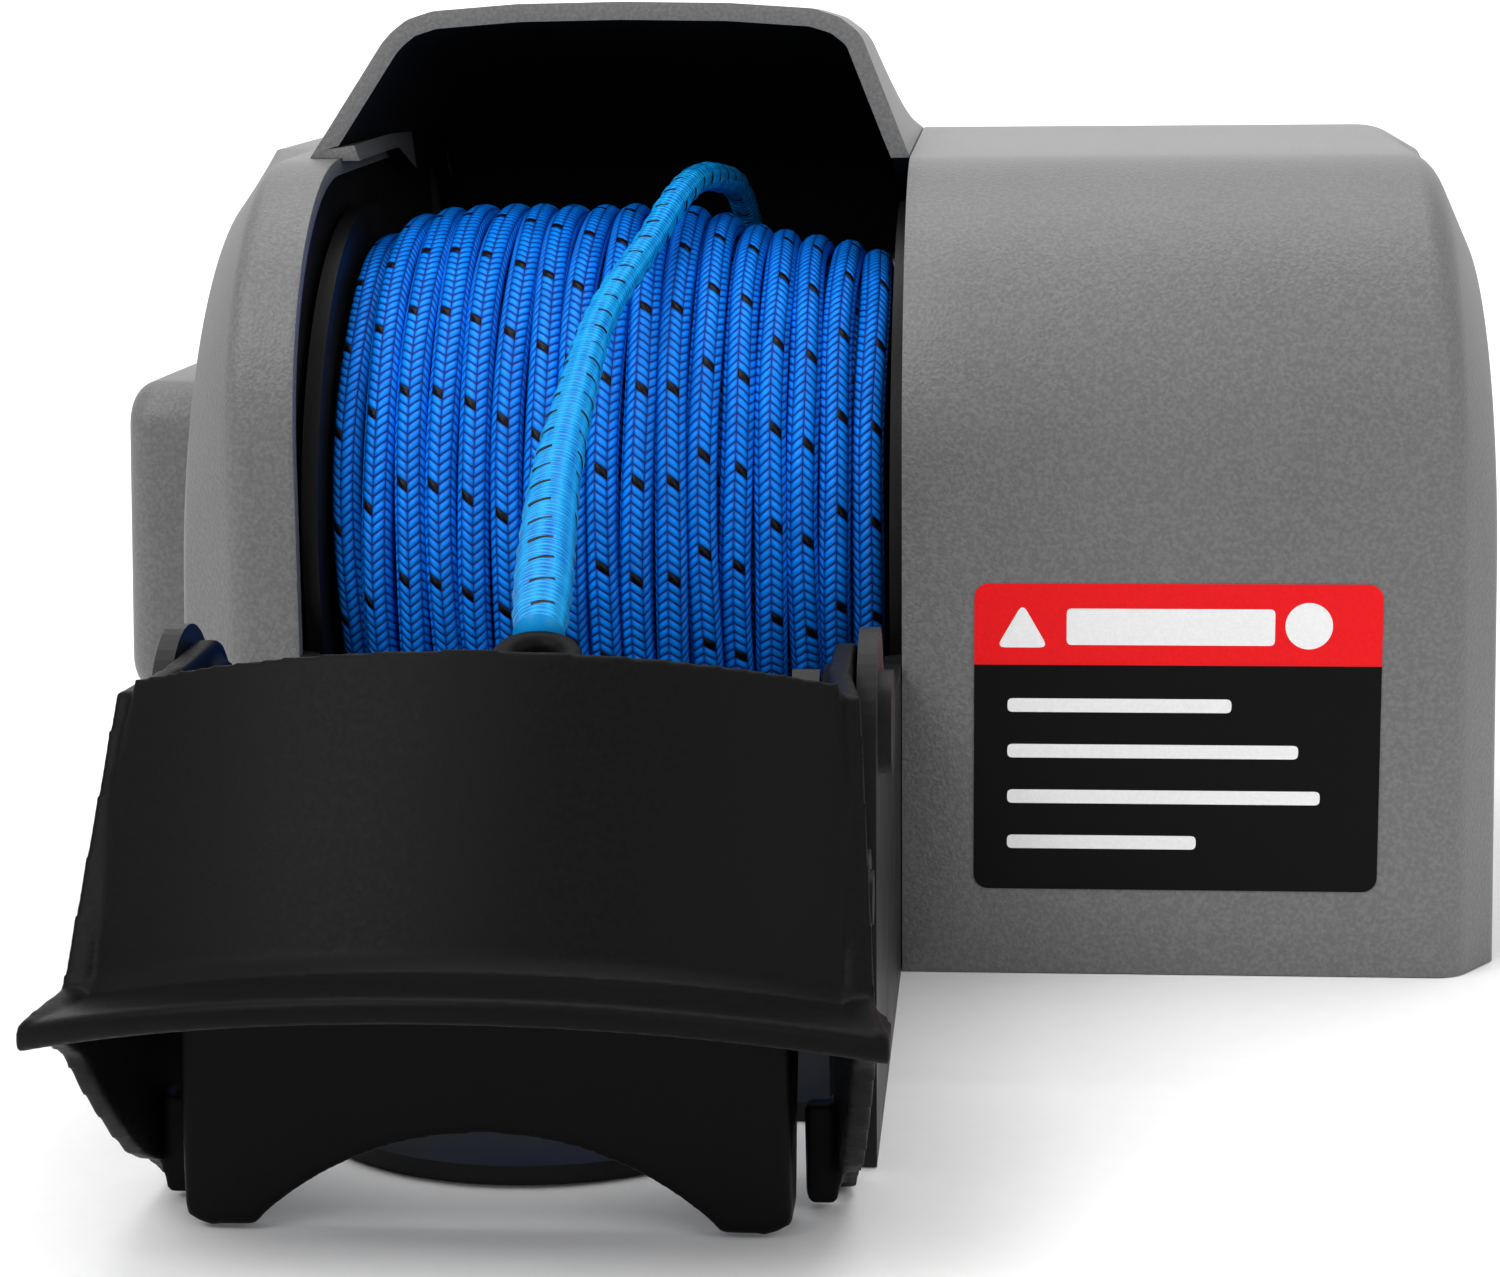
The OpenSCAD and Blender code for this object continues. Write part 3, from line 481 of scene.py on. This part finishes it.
def tube(name, centre, radius, sides, body, relief=None):
    """A rope along the centre line with a 'braid' UV map. relief(u, v) adds millimetres to the radius."""
    centre, radius = np.asarray(centre, float), np.asarray(radius, float)
    n = len(centre)
    along = np.gradient(centre, axis=0)
    along /= np.linalg.norm(along, axis=1)[:, None]
    side = np.cross(along[0], [0.3, 0.1, 1.0])
    side /= np.linalg.norm(side)
    across = np.zeros((n, 3))
    for i in range(n):
        side = side - along[i] * (side @ along[i])
        side /= np.linalg.norm(side)
        across[i] = side
    up = np.cross(along, across)
    run = np.concatenate([[0], np.cumsum(np.linalg.norm(np.diff(centre, axis=0), axis=1))])
    v = np.arange(sides) / sides
    angle = 2 * np.pi * v
    r = radius[:, None] + np.zeros((1, sides))
    if relief is not None:
        r = r + relief(run[:, None], v[None, :])
    pts = (centre[:, None, :] + (r * np.cos(angle))[:, :, None] * across[:, None, :]
           + (r * np.sin(angle))[:, :, None] * up[:, None, :])
    verts = pts.reshape(-1, 3)
    j, i = np.meshgrid(np.arange(n - 1), np.arange(sides), indexing="ij")
    k = (i + 1) % sides
    quads = np.stack([j * sides + i, j * sides + k, (j + 1) * sides + k, (j + 1) * sides + i], -1)
    faces = quads.reshape(-1, 4).tolist()
    faces.append(list(range(sides - 1, -1, -1)))
    faces.append([(n - 1) * sides + q for q in range(sides)])
    mesh = bpy.data.meshes.new(name)
    mesh.from_pydata((verts * MM).tolist(), [], faces)
    mesh.update()
    all_smooth(mesh)
    uv = mesh.uv_layers.new(name="braid")
    per = np.stack([np.stack([run[j], i / sides], -1), np.stack([run[j], (i + 1) / sides], -1),
                    np.stack([run[j + 1], (i + 1) / sides], -1), np.stack([run[j + 1], i / sides], -1)], 2)
    flat = np.vstack([per.reshape(-1, 2), np.zeros((2 * sides, 2))])
    uv.data.foreach_set("uv", flat.astype(np.float32).ravel())
    obj = bpy.data.objects.new(name, mesh)
    bpy.context.scene.collection.objects.link(obj)
    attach(obj, body)
    return obj


route = smooth_route(TAIL, 0.62)


def tail_relief(u, v):
    """Fine ribs of the stretched cover over the lumps of the strands inside."""
    ribs = 0.06 * np.sin(2 * np.pi * u / 1.9)
    lumps = 0.16 * np.sin(u / 6.4 * 2 * np.pi) * np.cos(4 * np.pi * v)
    return ribs + lumps


tail = tube("rope_tail_v", route[:, :3], route[:, 3], 40, "frame", tail_relief)
tail.data.materials.append(M["splice"])
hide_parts("rope_tail")


def make_thimble():
    """The grooved ring that the eye is spliced round."""
    last = np.array(TAIL[-1][:3])
    ahead = last - np.array(TAIL[-2][:3])
    ahead /= np.linalg.norm(ahead)
    side = np.cross(ahead, [0, 0, 1.0])
    side /= np.linalg.norm(side)
    up = np.cross(side, ahead)
    hub = last + 7.75 * ahead
    ring_r, wire_r, groove, steps = 5.2, 2.2, 0.7, 64
    section = arc(0, 0, wire_r, 0, 360, 20)[:-1]
    section = [(r - (groove if r > 1.0 else 0.0) * math.cos(math.atan2(h, r)) ** 8, h) for r, h in section]
    rows = []
    for k in range(steps):
        a = 2 * math.pi * k / steps
        out = math.cos(a) * ahead + math.sin(a) * side
        rows.append([tuple(hub + (ring_r + r) * out + h * up) for r, h in section])
    rows.append(rows[0])
    verts, faces = grid(rows, wrap=True)
    obj = new_object("rope_thimble_v", verts, faces, "frame")
    outward(obj)
    dress(obj, "black_plastic")
    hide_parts("rope_thimble")
    return obj


thimble = make_thimble()

# the wound pack: drum axis, outer radius, pitch of the turns and how far each turn lies below it
AXIS_Y, AXIS_Z, PACK_R, PITCH, LINE_R = -17.0, 76.0, 60.5, 6.0, 3.05
TURN_LIMIT = 49.2    # furthest a turn's centre goes to either side
DROP = [5.5, 1.7, 0.6, 0.3, 0, 0, 0, 0, 0, 0.4, 0.8, 2, 4, 5, 6.2, 7.5, 9.5]


def coil(name, layer_in, shift, material, sides, step_deg, side_wave):
    """One layer of turns: each lies square to the axis and steps across behind the drum."""
    turns = len(DROP)
    per = int(360 / step_deg)
    pts = []
    for k in range((turns - (1 if shift else 0)) * per + 1):
        t = k / per
        i = int(min(t, turns - 1))
        f = t - i
        a = 2 * math.pi * f
        cross = 0.5 - 0.5 * math.cos(math.pi * min(1, max(0, (f - 0.80) / 0.20)))
        drop = DROP[i] * (1 - cross) + DROP[min(i + 1, turns - 1)] * cross
        x = -PITCH * (turns - 1) / 2 + PITCH * (i + cross) + shift
        x += side_wave * math.sin(2 * a + 1.7 * i) + 0.22 * math.sin(5.1 * a + i * 2.3)
        x = max(-TURN_LIMIT, min(TURN_LIMIT, x))
        r = PACK_R - 3.2 - drop - layer_in + 0.25 * math.sin(3 * a + i)
        r = min(r, PACK_R - LINE_R - 0.1)
        a += math.radians(250)
        pts.append((x, AXIS_Y - r * math.cos(a), AXIS_Z + r * math.sin(a)))
    obj = tube(name, pts, np.full(len(pts), LINE_R), sides, "drum")
    dress(obj, material)
    return obj


turns = coil("rope_turns_v", 0.0, 0.0, "blue_rope", 16, 1.5, 0.22)
# the layer beneath takes the half-bright rope colours as painted shade
coil("rope_layer_v", 5.2, 3.0, "under_rope", 10, 5, 0.1)


def make_heart():
    """The bulk of the deeper layers, rounded off under the turns, coloured dark blue as painted shade."""
    core_r, core_x = 20.4, 51.0
    prof = [(core_r, -core_x)]
    for i, d in enumerate(DROP):
        x = -PITCH * (len(DROP) - 1) / 2 + PITCH * i
        for dx, lift in ((-2.6, 0.0), (-1.3, 0.8), (0, 1.1), (1.3, 0.8), (2.6, 0.0)):
            prof.append((PACK_R - 10.8 - d + lift, x + dx))
    prof += [(core_r, core_x), (core_r, -core_x)]
    verts, faces = grid([[(x, *p) for p in circle(AXIS_Y, AXIS_Z, r, 72)] for r, x in prof], wrap=True)
    obj = new_object("rope_heart_v", verts, faces, "drum")
    outward(obj)
    mat = Nodes("rope_heart_shade_m", 0.6)
    cloud = mat.noise(500, 3, stretch=(1, 0.3, 0.3))
    # painted shade: the deeper layers take only the rope's shade colour, at 0.35 to 0.9 of it in soft clouds
    mat.colour(mat.mix(mat.span(cloud, 0.35, 0.65, 0, 1), tint(ROPE_SHADE, 0.35), tint(ROPE_SHADE, 0.9)))
    mat.bump(cloud, 0.3)
    obj.data.materials.append(mat.mat)


make_heart()
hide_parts("wound_rope")

# ---------------------------------------------------------------- covers

FRONT_Y, BACK_Y = -85.0, 85.0
# centre Y, centre Z and radius of the round front and of the round back edge of the roof
NOSE = (-33.0, 94.0, 52.0)
HEEL = (63.0, 126.5, 22.0)
ROOF_RUN, ROOF_RISE = HEEL[0] - NOSE[0], HEEL[1] - NOSE[1]
ROOF_TILT = math.degrees(math.atan2(ROOF_RISE, ROOF_RUN)
                         - math.asin((NOSE[2] - HEEL[2]) / math.hypot(ROOF_RUN, ROOF_RISE)))
# end faces: front radius, its centre Z, its rise, the roof point and the centre Z of the back corner
END_LEFT = (66.0, 71.5, 17.0, (14.0, 146.2), 133.2)
END_RIGHT = (55.0, 73.0, 11.0, (17.0, 135.3), 128.9)
END_IN = 13.3       # how far the end face's front stands behind the cover's
END_BACK_Y = 74.0


def side_outline():
    """The covers' side outline as (y, z), front foot to back foot."""
    nose = arc(*NOSE, 180, 90 + ROOF_TILT, 26)
    heel = arc(*HEEL, 90 + ROOF_TILT, 0, 16)
    return (line((FRONT_Y, 0.0), nose[0], 8) + nose[:-1] + line(nose[-1], heel[0], 8) + heel[:-1]
            + line(heel[-1], (BACK_Y, 0.0), 8) + [(BACK_Y, 0.0)])


def end_outline(radius, centre_z, rise, roof, back_z):
    """The same number of points round a cover's end face."""
    front = FRONT_Y + END_IN
    nose = arc(front + radius, centre_z, radius, 180, 90 + rise, 26)
    heel = arc(60, back_z, 14, 90, 0, 16)
    return (line((front - 1.2, 0.0), nose[0], 8) + nose[:-1] + line(nose[-1], roof, 4)
            + line(roof, heel[0], 4) + heel[:-1] + line(heel[-1], (END_BACK_Y, 0.0), 8) + [(END_BACK_Y, 0.0)])


def make_cover(name, node, x0, x1, x2, end, lean_1, lean_2):
    """A side housing: the outline swept outwards, blended into a smaller end face that leans inwards."""
    sign = 1 if x2 > x0 else -1
    depth = 13.0
    path = rounded([(x0, 0.0), (x1, 0.0), (x2, depth), (x2, depth + 6)], [0, 7.5, 5.5, 0], 8)
    path = line(path[0], path[1], 8) + path[1:]
    outer, small = np.array(side_outline()), np.array(end_outline(*end))
    rows = []
    for x, d in path:
        w = d / depth
        share = min(1.0, (x - x0) / (x1 - x0))
        beyond = min(1.0, max(0.0, (x - x1) / (x2 - x1)))
        lean = math.tan(math.radians(lean_1 * share * (1 - beyond) + lean_2 * beyond))
        ring = outer * (1 - w) + small * w
        rows.append([(x - sign * lean * z, y, z) for y, z in ring])
    verts, faces = grid(rows)
    n = len(rows[0])
    faces.append([(len(rows) - 1) * n + i for i in range(n)])
    obj = new_object(name, verts, faces, "frame")
    bm = bmesh.new()
    bm.from_mesh(obj.data)
    bmesh.ops.recalc_face_normals(bm, faces=bm.faces)
    end_face = max(bm.faces, key=lambda f: f.calc_area())
    if end_face.normal.x * sign < 0:
        bmesh.ops.reverse_faces(bm, faces=bm.faces)
    bm.to_mesh(obj.data)
    bm.free()
    thicken(obj, 3.0)
    bevel(obj, 0.55, 2, 50)
    apply_all(obj)
    for v in obj.data.vertices:
        v.co.z = max(v.co.z, 0.0)
    dress(obj, "grey_shell")
    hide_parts(node)


make_cover("motor_cover_v", "motor_cover", 55.0, 155.0, 163.3, END_RIGHT, 1.2, 0.8)
make_cover("left_cover_v", "left_cover", -55.0, -66.6, -81.5, END_LEFT, 0.0, 1.5)


def make_cap():
    """Square cap over the shaft end: round corners and a soft edge round its face."""
    half_y, half_z, corner, proud, edge_r = 28.5, 31.2, 9.0, 17.5, 5.6
    face_x, centre_z, lean = -81.5, 72.2, math.radians(1.5)

    def ring(d, x):
        """The cap's outline moved inwards by d."""
        r = max(corner - d, 2.5)
        y, z = half_y - d - r, half_z - d - r
        out = []
        for cy, cz, a0 in ((y, z, 0), (-y, z, 90), (-y, -z, 180), (y, -z, 270)):
            out += [(x, p[0], p[1]) for p in arc(cy, cz, r, a0, a0 + 90, 10)]
        return out

    angles = [math.radians(a) for a in range(90, -1, -10)]
    edge = [(edge_r * (1 - math.sin(a)), -proud + edge_r * (1 - math.cos(a))) for a in angles]
    steps = [(4.6, 4.0), (2.5, 4.0), (2.5, -0.05), (0.0, -0.05), (0.0, -3.0), (0.0, -7.0)]
    steps += edge + [(8.0, -proud), (14.0, -proud), (20.0, -proud)]
    rows = [ring(d, x) for d, x in steps]
    rows += [ring(d, x) for d, x in ((20.0, -14.5), (12.0, -14.5), (4.6, -14.5), (4.6, 4.0))]
    verts, faces = grid(rows, wrap=True)
    n = len(rows[0])
    face_row, back_row = len(steps) - 1, len(steps)
    faces = [f for f in faces if not (min(f) // n == face_row and max(f) // n == back_row)]
    faces.append([face_row * n + i for i in range(n)])
    faces.append([back_row * n + i for i in range(n)])
    c, s = math.cos(lean), math.sin(lean)
    placed = [(face_x + c * x + s * (z + centre_z), y + AXIS_Y, -s * x + c * (z + centre_z))
              for x, y, z in verts]
    obj = new_object("end_cap_v", placed, faces, "frame")
    outward(obj)
    bevel(obj, 0.3, 2, 50)
    apply_all(obj)
    dress(obj, "grey_shell")
    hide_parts("end_cap")


make_cap()


def along_line(points, t):
    """The point a share t of the way along a polyline."""
    p = np.array(points, float)
    run = np.concatenate([[0], np.cumsum(np.linalg.norm(np.diff(p, axis=0), axis=1))])
    return np.array([np.interp(t * run[-1], run, p[:, k]) for k in (0, 1)])


def ramp(value):
    return min(1.0, max(0.0, value))


def make_hood():
    """The hood: a trapezoid arch at its mouth that runs back and settles into the covers' outline."""
    mouth_y, wall_top, arch = -33.0, 112.0, 29.4
    skirt, steps = 6.4, 44
    wing, wing_high = 6.3, 23.0     # how far the left foot spreads over the left cover, and up to what height
    half = [(54.7, 0.0), (45.6, 23.0), (41.5, 26.2), (36.5, 27.8), (20.0, 29.0), (0.0, arch)]
    right = rounded(half, [0, 7, 6, 10, 10, 0], 5)
    right = [right[0]] + line(right[0], right[1], 5)[1:] + right[1:]
    top = right + [(-x, z) for x, z in reversed(right[:-1])]
    # the foot follows the covers' roof from the mouth back and the crown its own line, down to the back wall
    roof = [(mouth_y, 145.95)] + [p for p in side_outline()[:-1] if p[0] > mouth_y + 0.1 and p[1] >= wall_top]
    roof.append((BACK_Y, wall_top))
    spine = [(mouth_y, 175.3), (-14.0, 175.3), (6.0, 174.7), (28.0, 171.6), (48.0, 166.0), (64.0, 158.8),
             (75.0, 151.0), (82.0, 140.5), (84.6, 128.0), (BACK_Y, wall_top)]
    spine = smooth_route([(0, *p) for p in spine], 3)[:, 1:]
    rows = []
    for k in range(steps + 1):
        t = k / steps
        foot, crown = along_line(roof, t), along_line(spine, t)
        onward = along_line(roof, min(1.0, t + 0.01)) - along_line(roof, max(0.0, t - 0.01))
        inward = np.array([onward[1], -onward[0]]) / np.linalg.norm(onward)
        low_right = foot + inward * skirt * max(0.06, ramp((foot[0] + 31) / 26))
        low_left = foot + inward * skirt * max(0.06, ramp((foot[0] - 8) / 22))
        wide = wing * ramp((30 - foot[0]) / 56)
        lift = 0.15 * ramp(wide)
        row = [(top[0][0], *low_right)]
        for x, z in top:
            y, up = foot + (crown - foot) * (z / arch)
            if x < 0:
                x, up = x - wide * ramp(1 - z / wing_high), up + lift
            row.append((x, y, up))
        row.append((top[-1][0], foot[0], foot[1] + lift))
        row.append((top[-1][0], *low_left))
        rows.append(row)
    for z, deep in ((96, skirt), (80, skirt), (60, skirt), (40, skirt), (20, 0.4), (0.6, 0.4)):
        row = [(p[0], BACK_Y, z) for p in rows[-1]]
        row[0], row[-1] = (row[0][0], BACK_Y - deep, z), (row[-1][0], BACK_Y - deep, z)
        rows.append(row)
    verts, faces = grid(rows)
    obj = new_object("drum_hood_v", verts, faces, "frame")
    bm = bmesh.new()
    bm.from_mesh(obj.data)
    bmesh.ops.remove_doubles(bm, verts=bm.verts, dist=1e-6)
    bmesh.ops.recalc_face_normals(bm, faces=bm.faces)
    crown_face = min(bm.faces, key=lambda f: (f.calc_center_median() - Vector((0, 0, 0.175))).length)
    if crown_face.normal.z < 0:
        bmesh.ops.reverse_faces(bm, faces=bm.faces)
    bm.to_mesh(obj.data)
    bm.free()
    thicken(obj, 3.4, even=False)
    bevel(obj, 0.9, 3, 55)
    apply_all(obj)
    dress(obj, "grey_shell")
    obj.data.materials.append(M["hood_inside"])
    for p in obj.data.polygons:
        c, n = p.center / MM, p.normal
        behind_rim = c.y > -31.6
        under_roof = behind_rim and c.z > 139 and n.z < -0.15
        on_flank = behind_rim and abs(c.x) < 51.6 and c.y < 82.5 and n.x * c.x < -0.1 * abs(c.x)
        on_back = c.y > 60 and n.y < -0.5
        p.material_index = 1 if under_roof or on_flank or on_back else 0
    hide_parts("drum_hood")


make_hood()

# ---------------------------------------------------------------- label


FILM_FRONT, INK_BACK, INK_FRONT = -85.28, -85.2, -85.30    # the white shapes stand just proud of the film


def label_piece(name, outline, back, front, material, edge=0.0):
    """A flat shape of the label, drawn as (x, z), between two depths."""
    verts, faces = prism([(x, front, z) for x, z in outline], [(x, back, z) for x, z in outline])
    obj = new_object(name, verts, faces, "frame", smooth=False)
    outward(obj)
    if edge:
        bevel(obj, edge, 2, 40)
        apply_all(obj)
    dress(obj, material)
    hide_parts("warning_label")


def make_label():
    """A red band over a black field, with a triangle and a disc where the label has its signs."""
    x0, x1, z0, z1, r, split = 68.0, 140.5, 15.8, 72.0, 2.6, 57.2
    low = arc(x0 + r, z0 + r, r, 270, 180, 6) + [(x0, split), (x1, split)]
    low += arc(x1 - r, z0 + r, r, 0, -90, 6)
    high = [(x0, split)] + arc(x0 + r, z1 - r, r, 180, 90, 6)
    high += arc(x1 - r, z1 - r, r, 90, 0, 6) + [(x1, split)]
    label_piece("label_field_v", low, FRONT_Y, FILM_FRONT, "label_black", 0.08)
    label_piece("label_band_v", high, FRONT_Y, FILM_FRONT, "label_red", 0.08)
    triangle = rounded([(72.0, 60.4), (81.2, 60.4), (76.6, 68.4)], [0.9, 0.9, 0.9], 4, closed=True)
    for name, shape in (("triangle", triangle), ("disc", circle(127.5, 64.5, 4.2, 40))):
        label_piece(f"label_{name}_v", shape, INK_BACK, INK_FRONT, "label_white")


make_label()


def make_bars():
    """Plain bars stand where the label has words."""
    bars = [(84.5, 60.9, 37.0, 6.6, "bar_head")]
    bars += [(74.0, 48.6 - 8.4 * i, w, 2.5, f"bar_{i}") for i, w in enumerate((40, 52, 56, 34))]
    for x, z, w, h, name in bars:
        shape = rounded([(x, z), (x + w, z), (x + w, z + h), (x, z + h)], [0.9] * 4, 3, closed=True)
        label_piece(f"label_{name}_v", shape, INK_BACK, INK_FRONT, "label_white")


# ---------------------------------------------------------------- davit

CARRY = np.array([0.0, 0.8526, -0.5225])    # the way the cowl's sides fall back, and through its wall
BACKWARD = np.array([0.0, 0.5225, 0.8526])  # up the cowl from the root of its lip to its rear edge
ROOT = np.array([0.0, -252.5, 45.0])
COWL_R = 107.0
COWL_LONG, REAR_HALF, SPREAD = 48, 50.6, 4.6


def cowl_profile():
    """Section of the cowl and lip on the centre line, as (point, half width)."""
    out = np.array([0.0, -0.996, 0.087])
    lift = np.array([0.0, 0.087, 0.996])
    rear = ROOT + BACKWARD * COWL_LONG
    top = ROOT + lift * 1.5

    def half(d):
        return REAR_HALF + (COWL_LONG - d) / COWL_LONG * SPREAD

    pts = [(rear + CARRY * 3.5, REAR_HALF), (rear, REAR_HALF)]
    pts += [(ROOT + BACKWARD * d, half(d)) for d in (40, 30, 20, 12, 7, 4)]
    # the lip, out along its top, round its edge and back underneath: out, down and half width
    pts += [(top + out * a - lift * b, h) for a, b, h in (
        (0.5, 0.0, 56.4), (2.0, -0.1, 58.0), (5.0, 0.0, 58.9), (9.0, 0.0, 59.0), (14.0, 0.0, 59.1),
        (15.8, 0.2, 59.1), (16.5, 1.0, 59.1), (16.5, 3.0, 59.1), (15.8, 3.8, 59.0), (8.0, 4.0, 58.9),
        (3.0, 4.6, 57.8))]
    pts.append((ROOT + CARRY * 3.9 - BACKWARD * 0.6, 55.2))
    pts += [(ROOT + BACKWARD * d + CARRY * 3.6, half(d)) for d in (7, 15, 25, 36, 44)]
    return pts


def sheet(name, x0, x1, outline):
    """A flat davit part drawn as (y, z) between two X."""
    verts, faces = prism([(x0, y, z) for y, z in outline], [(x1, y, z) for y, z in outline])
    return new_object(name, verts, faces, "davit")


def make_cowl():
    """The curved shield with its lip, side walls, links to the pivots and pegs."""
    profile = cowl_profile()
    across = 48
    rows = []
    for k in range(across + 1):
        row = []
        for p, half in profile:
            x = (-1 + 2 * k / across) * half
            q = p + CARRY * (COWL_R - math.sqrt(COWL_R ** 2 - x * x))
            row.append((x, q[1], q[2]))
        rows.append(row)
    verts, faces = grid(rows, wrap=True)
    n = len(profile)
    faces.append(list(range(n)))
    faces.append([across * n + i for i in range(n - 1, -1, -1)])
    parts = [new_object("davit_cowl_v", verts, faces, "davit")]

    hinge_x, hinge_y, wall_t = 51.3, -197, 3.5      # where the side walls turn outwards by toe_out
    toe_out = math.radians(7)
    c, s = math.cos(toe_out), math.sin(toe_out)
    # side wall as (distance from the hinge line, z)
    wall = [(0.6, 0.6), (-7.2, 0.6), (-8.8, 1.2), (-11.5, 3.2), (-15, 5.7), (-19, 7.2), (-23, 9.3),
            (-28, 13.4), (-34, 19), (-40, 25.5), (-44, 30.5), (-49, 33.6), (-54, 35.2), (-56.6, 36.6),
            (-56.6, 39.4), (-52, 39.8), (-43, 40.2), (-18.8, 77.2), (0.6, 77.4)]
    link = arc(-179, 66, 12, -62, 80, 14) + [(-190, 77.4), (-197.4, 77.4), (-197.4, 30), (-190, 40)]
    peg = [(45.2, 2.4), (45.9, 0.9), (49.6, 0.9), (50.4, 4.0), (51.2, 16.0), (45.0, 16.0)]
    for side in (1, -1):
        faces_xyz = [[(side * (hinge_x + c * depth - s * y), hinge_y + s * depth + c * y, z) for y, z in wall]
                     for depth in (0.0, -wall_t)]
        parts.append(new_object(f"wall{side}", *prism(*faces_xyz), "davit"))
        parts.append(sheet(f"link{side}", side * hinge_x, side * (hinge_x - wall_t), link))
        parts.append(sheet(f"boss{side}", side * hinge_x, side * 46.2, circle(-179, 66, 9.0, 32)))
        peg_xyz = [[(side * x, y, z) for x, z in peg] for y in (-213, -209)]
        parts.append(new_object(f"peg{side}", *prism(*peg_xyz), "davit"))
    cowl = fuse(parts, 0.6, 4)
    dress(cowl, "black_plastic")
    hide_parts("davit_cowl")


make_cowl()


def make_saddle():
    """The inner guard: a front with two feet and an arch, and two cheeks that carry the roller axle."""
    front = arc(-40, 4.6, 4.0, 180, 262, 6) + [(-33.4, 0.7)]
    front += arc(0, 15 - 48, 48, 134, 46, 28) + [(33.4, 0.7)] + arc(40, 4.6, 4.0, 278, 360, 6)
    front += [(44, 37.4)] + arc(40, 37, 4, 0, 90, 5) + arc(-40, 37, 4, 90, 180, 5)
    panel_xyz = [[(x, y, z) for x, z in front] for y in (-226.0, -222.0)]
    cheek = [(-225, 1.6), (-214.5, 1.6), (-210.5, 16), (-199, 38), (-199, 49.5), (-203, 54), (-213, 54),
             (-225, 40)]
    parts = [new_object("davit_saddle_v", *prism(*panel_xyz), "davit")]
    parts += [sheet(f"cheek{side}", side * 44.0, side * 40.0, cheek) for side in (1, -1)]
    saddle = fuse(parts, 0.65, 8)
    dress(saddle, "black_plastic")
    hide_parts("davit_saddle")


make_saddle()
make_bars()

# ---------------------------------------------------------------- stage


def make_stage():
    """A floor that curves up into a back wall, a white world and four soft lights. Lengths in metres."""
    mesh = bpy.data.meshes.new("floor")
    bend_y, bend_r, below = 2.2, 1.5, 0.0002
    section = [(-6, 0.0), (bend_y, 0.0)]
    for degrees in range(6, 91, 6):
        a = math.radians(degrees)
        section.append((bend_y + bend_r * math.sin(a), bend_r - bend_r * math.cos(a)))
    section.append((bend_y + bend_r, 6))
    verts, faces = grid([[(x, y, z - below) for x in (-8, 8)] for y, z in section])
    mesh.from_pydata(verts, [], faces)
    all_smooth(mesh)
    floor = bpy.data.objects.new("floor", mesh)
    bpy.context.scene.collection.objects.link(floor)
    floor.data.materials.append(M["floor"])
    world = bpy.data.worlds.new("studio")
    world.use_nodes = True
    background = world.node_tree.nodes["Background"]
    background.inputs["Color"].default_value = (1, 1, 1, 1)
    background.inputs["Strength"].default_value = 0.62
    bpy.context.scene.view_settings.view_transform = "Standard"
    bpy.context.scene.world = world
    for name, at, aim, size, power in (
            ("key", (-0.75, -1.0, 1.25), (0, -0.05, 0.08), (1.0, 0.8), 15.0),
            ("fill", (1.1, -1.1, 0.8), (0.05, -0.05, 0.06), (0.9, 0.9), 5.0),
            ("top", (0.05, 0.15, 1.5), (0.05, 0.0, 0.1), (1.3, 0.9), 11.0),
            ("back", (0.0, 1.3, 2.4), (0, 3.4, 0.9), (3.0, 1.0), 90.0)):
        data = bpy.data.lights.new(name, "AREA")
        data.shape, data.size, data.size_y, data.energy = "RECTANGLE", size[0], size[1], power
        light = bpy.data.objects.new(name, data)
        light.location = at
        light.rotation_euler = (Vector(aim) - Vector(at)).to_track_quat("-Z", "Y").to_euler()
        bpy.context.scene.collection.objects.link(light)


make_stage()
